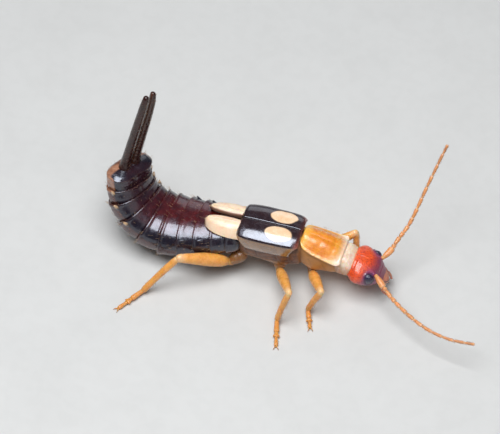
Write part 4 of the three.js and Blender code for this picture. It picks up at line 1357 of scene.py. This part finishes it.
def segment_marks(segment, share):
    """Blue-black plates, partly their own colour and partly painted reflection, with maroon along the back
    that gives way to the blue-black on the curled rear as painted reflection; a reddish belly; a tan end and
    paler rims, each partly painted highlight.
    """
    body = segment + share
    # Maroon gives way to the blue-black on the curled rear, as painted reflection
    back = 0.2 + 0.8 * fade(4.5, 8.5, body)
    edge = 0.02 - 0.32 * smooth_step(2.0, 7.0, body) + 0.3 * smooth_step(9.98, 10.1, body)
    end = smooth_step(8.7, 9.1, body)

    def belly(angle, *_):
        return smooth_step(edge, edge + 0.12, -math.sin(angle))

    return {
        "maroon": lambda angle, *_: smooth_step(0.6, 0.9, math.sin(angle)) * back,
        "belly": belly,
        # The tan end is partly the belly's paler colour and partly a painted highlight
        "tan": lambda angle, *_: end * belly(angle) * (1 - 0.65 * smooth_step(0.7, 0.95, -math.sin(angle))),
        # Paler rims: partly their own colour, partly a painted highlight
        "rim": 0.2 * smooth_step(0.94, 0.99, share) * (share < 1.03),
    }


def make_segment(segment):
    ending = segment == LAST_SEGMENT
    power = 2.8 if ending else 2.3
    rows = [(share, *read_rows(SEGMENT_SWELL, share)) for share in along_rows(SEGMENT_SWELL, SEGMENT_STEPS)]

    def ring(share, swell):
        def push(angle, *_):
            return segment_push(segment, share, angle)

        sizes = [size * swell for size in segment_size(segment, share)]
        spots = section(*sizes, SEGMENT_SIDES, power)
        return abdomen_place(segment, share), spots, push, segment_marks(segment, share)

    shell = Shell()
    shell.skin(ring(*row) for row in (*rows, *(LAST_SEGMENT_CLOSE if ending else RIM_TURN)))
    for _, side in SIDES:
        for bump in SIDE_BUMPS:
            if segment in bump["heights"]:
                add_side_bump(shell, segment, side, **bump)
    name = f"abdomen_{segment + 1}"
    shell.make(f"{name}_ring", ABDOMEN_FINISH, "maroon_shell", name)


def add_side_bump(shell, segment, side, share, lift, radius, lean, pale, heights):
    """A small fold or point on the side of a segment, leaning to the rear."""
    height = heights[segment]
    place = abdomen_place(segment, share)
    half, above, _ = segment_size(segment, share)
    angle = math.radians(lift)
    out, up = rounded(angle, half, above, above, SEGMENT_FULLNESS)
    outward = unit(place.across * side * math.cos(angle) + place.up * math.sin(angle))
    spot = place.point(side * out, up)
    tip = spot + outward * height + place.along * height * lean
    base = spot - outward * 0.09 - place.along * 0.1
    outline = ((0.0, 2.4, 2.0), (0.4, 2.0, 1.6), (0.75, 1.4, 1.1), (0.95, 0.75, 0.6), (1.0, 0.3, 0.3))
    # The points' paleness is partly their own colour and partly a painted highlight
    marks = {"point": lambda share: pale * smooth_step(0.35, 0.8, share)}
    limb(shell, base, tip, outline, hint=outward, steps=20, scale=radius, marks=marks)


def make_last_plate():
    """The small plate between the roots of the forceps."""
    root, length, half, depth, steps = 0.02, 0.26, 0.11, 0.09, 16

    def ring(share):
        size = math.sqrt(max(1 - share**3, 0.03))
        place = ABDOMEN_END.moved(rise=-0.05, ahead=root + length * share)
        return place, section(half * size, depth * size, depth * size, sides=28, power=2.6)

    shell = Shell()
    shell.skin(ring(step / steps) for step in range(steps + 1))
    shell.make("last_plate", ABDOMEN_FINISH, "maroon_shell")


def forceps_place(side, share):
    out, rise, across, upward = read_rows(FORCEPS_ROWS, share)
    return ABDOMEN_END.moved(side * out, rise, share * FORCEPS_LENGTH), across, upward


def make_forceps(name, side):
    """One branch of the forceps, with an inner ridge, small nicks and three teeth."""
    chance = random.Random(71 + side)
    nicks = [
        (0.1 + 0.045 * index + chance.uniform(-0.008, 0.008), chance.uniform(0.5, 1.0))
        for index in range(FORCEPS_NICKS)
    ]

    def ring(share):
        place, across, upward = forceps_place(side, share)
        ridge = smooth_step(0.02, 0.1, share) * fade(0.55, 0.7, share)
        bumps = sum(size * bell(share - at, 0.009) for at, size in nicks)

        def push(angle, *_):
            spot = (share * FORCEPS_LENGTH, math.cos(angle), math.sin(angle))
            inner = smooth_step(0.35, 0.95, -side * math.cos(angle))
            return 0.022 * inner * (ridge + bumps) + 0.006 * wobble(spot, 0.15)

        marks = {"tooth": lambda angle, *_: 0.5 * smooth_step(0.5, 1.0, -side * math.cos(angle))}
        return place, section(across, upward, upward, sides=40, power=2.1), push, marks

    shell = Shell()
    shell.skin(ring(share) for share in along_rows(FORCEPS_ROWS, steps=190))
    outline = ((0, 1, 1.3), (0.5, 0.8, 1), (0.85, 0.4, 0.45), (1, 0.1, 0.1))
    for at, height, radius in FORCEPS_TEETH:
        place, thick, _ = forceps_place(side, at)
        outward = unit(-side * 0.64 * place.across + 0.77 * place.up)
        root = place.origin + outward * thick * 0.5
        tip = place.origin + outward * (thick + height) - place.along * 0.02
        limb(shell, root, tip, outline, hint=place.along, sides=16, steps=14, scale=radius)
    shell.make(f"forceps_branch_{name}", FORCEPS_FINISH, "forceps_shell", f"forceps_{name}")


# Legs


def leg_points(leg):
    """Hip, root of the thigh, knee, ankle and toe, then the size and stoutness of the leg."""
    hip, root, knee, ankle, toe, scale, stout = LEGS[leg]
    points = (hip, root, knee, (*ankle, ANKLE_HEIGHT), (*toe, TOE_HEIGHT))
    return *map(np.array, points), scale, stout


def shin_scale(stout):
    return 0.55 + 0.45 * stout


def add_foot(shell, ankle, toe):
    """Three foot joints, the second one lobed."""
    for start, end, slim, full, flat in FOOT_JOINTS:
        middle = (slim + full) / 2
        rows = (
            (0.0, slim * 0.5, slim * 0.5),
            (0.05, slim, slim),
            (0.5, middle, middle * flat**0.5),
            (0.85, full, full * flat),
            (0.97, full * 0.8, full * flat * 0.8),
            (1.0, full * 0.3, full * flat * 0.3),
        )
        first, last = ankle + (toe - ankle) * start, ankle + (toe - ankle) * end
        limb(shell, first, last, rows, sides=24, steps=24, marks={"foot": lambda share: 0.8})


def add_claws(shell, ankle, toe):
    forward = unit((toe - ankle) * (1, 1, 0))
    level = place_facing(toe, forward)
    root_radius, rings = 0.03, 16
    for _, side in SIDES:
        bend = [level.point(side * out, up, ahead) for ahead, out, up in CLAW_POINTS]
        claw = []
        for index, (spot, way) in enumerate(zip(*smooth_way(bend, samples=rings))):
            radius = root_radius * (1 - index / (rings + 1))
            marks = {"dark": 0.8 * index / (rings - 1)}
            claw.append((place_facing(spot, way), circle(radius, sides=10), None, marks))
        shell.skin(claw)


def make_leg(leg):
    shell = Shell()
    hip, root, knee, ankle, toe, scale, stout = leg_points(leg)
    thigh = unit(knee - root)
    neck = root + thigh * 0.06
    # The hip and the joint after it are painted dark, as shade
    marks = {"dark": lambda share: 0.85 - 0.1 * share}
    limb(shell, hip, root, COXA_ROWS, hint=FORWARD, sides=36, scale=scale, rough=0.06, marks=marks)
    marks = {"dark": lambda share: 0.75 - 0.45 * share}
    limb(shell, root - thigh * 0.2, neck + thigh * 0.16, TROCHANTER_ROWS, sides=30, scale=scale, marks=marks)
    # A paler knee, partly its own colour and partly a painted highlight, and painted shade at the thigh's
    # root
    marks = {
        "knee": lambda share: 0.5 * smooth_step(0.84, 0.97, share),
        "dark": lambda share: 0.3 * fade(0.0, 0.18, share),
    }
    limb(shell, neck, knee, FEMUR_ROWS, sides=44, steps=70, bow=0.035, scale=stout, rough=0.02, marks=marks)
    # The shin's paler knee end is partly its own colour and partly a painted highlight
    marks = {
        "knee": lambda share: 0.45 * fade(0.0, 0.1, share),
        "foot": lambda share: 0.4 * smooth_step(0.3, 1.0, share),
    }
    shin = shin_scale(stout)
    limb(shell, knee, ankle, TIBIA_ROWS, sides=36, steps=60, bow=0.03, scale=shin, rough=0.03, marks=marks)
    add_foot(shell, ankle, toe)
    add_claws(shell, ankle, toe)
    shell.make(f"walking_{leg}", LEG_FINISH, "leg_shell", f"leg_{leg}")


# Bristles

# On each segment, feeler and forceps branch, and on the head and the shield
SEGMENT_BRISTLES = 60
FEELER_BRISTLES = 620
FORCEPS_BRISTLES = 110
HEAD_BRISTLES = 120
SHIELD_BRISTLES = 70


def random_angle(chance):
    return chance.uniform(0, 2 * math.pi)


def map_band(low, high, angle, share):
    """A spot on the map: in a band of its own across, by the angle, and along by the share."""
    return low + (high - low) * angle / (2 * math.pi), share


def ring_hairs(shell, chance, start, end, radius, count, length, band):
    """Hairs round a straight limb, leaning to its end, on a band of their own on the map."""
    for _ in range(count):
        share = chance.uniform(0.05, 0.95)
        angle = random_angle(chance)
        place = limb_place(start, end, share)
        outward = place.outward(angle)
        way = outward * chance.uniform(0.5, 0.9) + place.along * 0.8
        root = place.origin + outward * radius * 0.97
        patch = map_band(*band, angle, share)
        shell.hair(root, way, length * chance.uniform(0.7, 1.3), radius=0.0045, patch=patch)


def grow_abdomen(shell, chance):
    """Fine bristles on the hind rims and backs of the abdomen's segments."""
    for segment in range(1, len(SEGMENTS)):
        for _ in range(SEGMENT_BRISTLES):
            share = 0.93 if chance.random() < 0.55 else chance.uniform(0.25, 0.9)
            angle = random_angle(chance)
            half, above, below = (1.03 * size for size in segment_size(segment, share))
            place = abdomen_place(segment, share)
            across, rise = math.cos(angle), math.sin(angle)
            out, up = rounded(angle, half, above, below, SEGMENT_FULLNESS)
            depth = 0.05 if rise < -0.25 else 0.012
            root = place.point(out * (1 - depth), up * (1 - depth))
            outward = unit(place.across * across / half + place.up * rise / above)
            way = outward * chance.uniform(0.5, 0.9) + place.along * chance.uniform(0.7, 1.1)
            length = chance.uniform(0.16, 0.3) if share > 0.92 else chance.uniform(0.08, 0.16)
            patch = map_band(0, 1, angle, (segment + share) / len(SEGMENTS))
            shell.hair(root, way, length, radius=0.006, patch=patch)


def grow_legs(shell, chance):
    for index, leg in enumerate(LEGS):
        _, root, knee, ankle, toe, _, stout = leg_points(leg)
        # Ends and radius of the thigh, shin and foot, number and length of hairs, and band on the leg's map
        parts = (
            (root, knee, 0.2 * stout, 60, 0.1, (0.0, 0.32)),
            (knee, ankle, 0.125 * shin_scale(stout), 110, 0.12, (0.34, 0.64)),
            (ankle, toe, 0.07, 90, 0.08, (0.66, 0.98)),
        )
        for *part, band in parts:
            ring_hairs(shell, chance, *part, [(index + side) / len(LEGS) for side in band])


def grow_feelers(shell, chance):
    for index, (_, side) in enumerate(SIDES):
        for _ in range(FEELER_BRISTLES):
            share = chance.uniform(0.06, 0.995)
            angle = random_angle(chance)
            place = feeler_place(side, share)
            outward = place.outward(angle)
            way = outward * chance.uniform(0.4, 0.8) + place.along
            root = place.origin + outward * feeler_radius(share) * 0.9
            patch = map_band(index / 2, (index + 1) / 2, angle, share)
            shell.hair(root, way, chance.uniform(0.06, 0.11), radius=0.0035, patch=patch)


def grow_forceps(shell, chance):
    for index, (_, side) in enumerate(SIDES):
        for _ in range(FORCEPS_BRISTLES):
            share = chance.uniform(0.02, 0.97)
            angle = random_angle(chance)
            place, thick, _ = forceps_place(side, share)
            outward = place.outward(angle)
            root = place.origin + outward * thick * 0.96
            way = outward * 0.9 + place.along * 0.8
            patch = map_band(index / 2, (index + 1) / 2, angle, share)
            shell.hair(root, way, chance.uniform(0.08, 0.16), radius=0.0045, patch=patch)


def grow_front(shell, chance):
    """Sparse hairs on the head and the shield's edges."""
    for _ in range(HEAD_BRISTLES):
        along = chance.uniform(0.1, 1.35)
        angle = random_angle(chance)
        out, up = rounded(angle, *read_rows(HEAD_ROWS, along), HEAD_FULLNESS)
        if eye_distance(along, out, up) < 1.3:
            continue
        place = head_place(along)
        outward = place.outward(angle)
        root = place.point(out, up) - outward * 0.01
        patch = map_band(0, 1, angle, 0.5 + along / 3)
        way = outward + place.along * 0.8
        shell.hair(root, way, chance.uniform(0.05, 0.1), radius=0.004, patch=patch)
    for _ in range(SHIELD_BRISTLES):
        distance = chance.uniform(0.15, 1.75)
        side = chance.choice((LEFT, RIGHT))
        half, _, drop = read_rows(SHIELD_ROWS, distance)
        place = sloped_place(SHIELD_START, distance)
        root = place.point(side * half, 0.06 - drop)
        way = place.across * side + place.up * 0.4 + place.along * chance.uniform(-0.6, 0.6)
        patch = (0.5 + side * 0.4, distance / 4)
        shell.hair(root, way, chance.uniform(0.05, 0.11), radius=0.004, patch=patch)


def make_bristles(name, slot, grow, seed):
    shell = Shell()
    grow(shell, random.Random(seed))
    shell.make(f"{name}_bristles", BRISTLE_FINISH, slot)


# Whole insect

make_head()
for name, side in SIDES:
    make_eye(name, side)
    make_feeler(name, side)
    make_wing_case(name, side)
    make_wing_tip(name, side)
    make_forceps(name, side)
make_mouthparts()
make_neck()
make_shield()
make_flanks("thorax", THORAX_ROWS, sides=150, steps=110)
make_flanks("prothorax", PROTHORAX_ROWS, sides=130, steps=80)
for segment in range(len(SEGMENTS)):
    make_segment(segment)
make_last_plate()
for leg in LEGS:
    make_leg(leg)
make_bristles("abdomen", "maroon_shell", grow_abdomen, seed=11)
make_bristles("leg", "leg_shell", grow_legs, seed=23)
make_bristles("feeler", "antenna_shell", grow_feelers, seed=37)
make_bristles("forceps", "forceps_shell", grow_forceps, seed=53)
make_bristles("front", "red_shell", grow_front, seed=67)

# Floor, light and camera, in metres

FLOOR_HALF = 0.4
VIEW_MIDDLE = (Vector((-2.17, 0.0, 2.78)) - Vector(FOOTPRINT_MIDDLE)) * METRES
TO_CAMERA = (0.181, -0.605, 0.775)
CAMERA_DISTANCE = 0.25
# Millimetres of lens and of film
FOCAL_LENGTH = 450
FILM_WIDTH = 36
# Way from the middle of the view, distance, size, power and tint
LAMPS = {
    "soft_top_light": ((-0.04, -0.22, 0.97), 0.08, 0.06, 0.095, (0.94, 0.97, 1.0)),
    "soft_back_light": ((-0.1, 0.9, 0.4), 0.1, 0.05, 0.007, (0.97, 0.98, 1.0)),
    "soft_fill_light": ((0.7, -0.6, 0.35), 0.1, 0.08, 0.01, (1.0, 0.96, 0.9)),
}
STUDIO_COLOUR = colour(0.75, 0.8, 0.9)
STUDIO_STRENGTH = 0.12


def place_object(name, data, way=None, distance=0.0):
    """Adds an object; with a way, it stands that way from the middle of the view and looks back at it."""
    made = bpy.data.objects.new(name, data)
    if way:
        way = Vector(way).normalized()
        made.location = VIEW_MIDDLE + way * distance
        made.rotation_euler = way.to_track_quat("Z", "Y").to_euler()
    bpy.context.scene.collection.objects.link(made)
    return made


def make_floor():
    mesh = bpy.data.meshes.new("floor")
    corners = [(x * FLOOR_HALF, y * FLOOR_HALF, 0) for x, y in ((-1, -1), (1, -1), (1, 1), (-1, 1))]
    mesh.from_pydata(corners, [], [(0, 1, 2, 3)])
    mesh.materials.append(FLOOR_FINISH)
    floor = place_object("floor", mesh)


def make_lights():
    for name, (way, distance, size, power, tint) in LAMPS.items():
        lamp = bpy.data.lights.new(name, "AREA")
        lamp.shape = "SQUARE"
        lamp.size = size
        lamp.energy = power
        lamp.color = tint
        place_object(name, lamp, way, distance)
    world = bpy.data.worlds.new("plain_studio")
    world.use_nodes = True
    studio = world.node_tree.nodes["Background"].inputs
    studio["Color"].default_value = STUDIO_COLOUR
    studio["Strength"].default_value = STUDIO_STRENGTH
    bpy.context.scene.world = world


def make_camera():
    lens = bpy.data.cameras.new("camera")
    lens.lens = FOCAL_LENGTH
    lens.sensor_width = FILM_WIDTH
    lens.clip_start = 0.001
    lens.clip_end = 10
    bpy.context.scene.camera = place_object("camera", lens, TO_CAMERA, CAMERA_DISTANCE)


make_floor()
make_lights()
make_camera()
bpy.context.scene.view_settings.view_transform = "Standard"
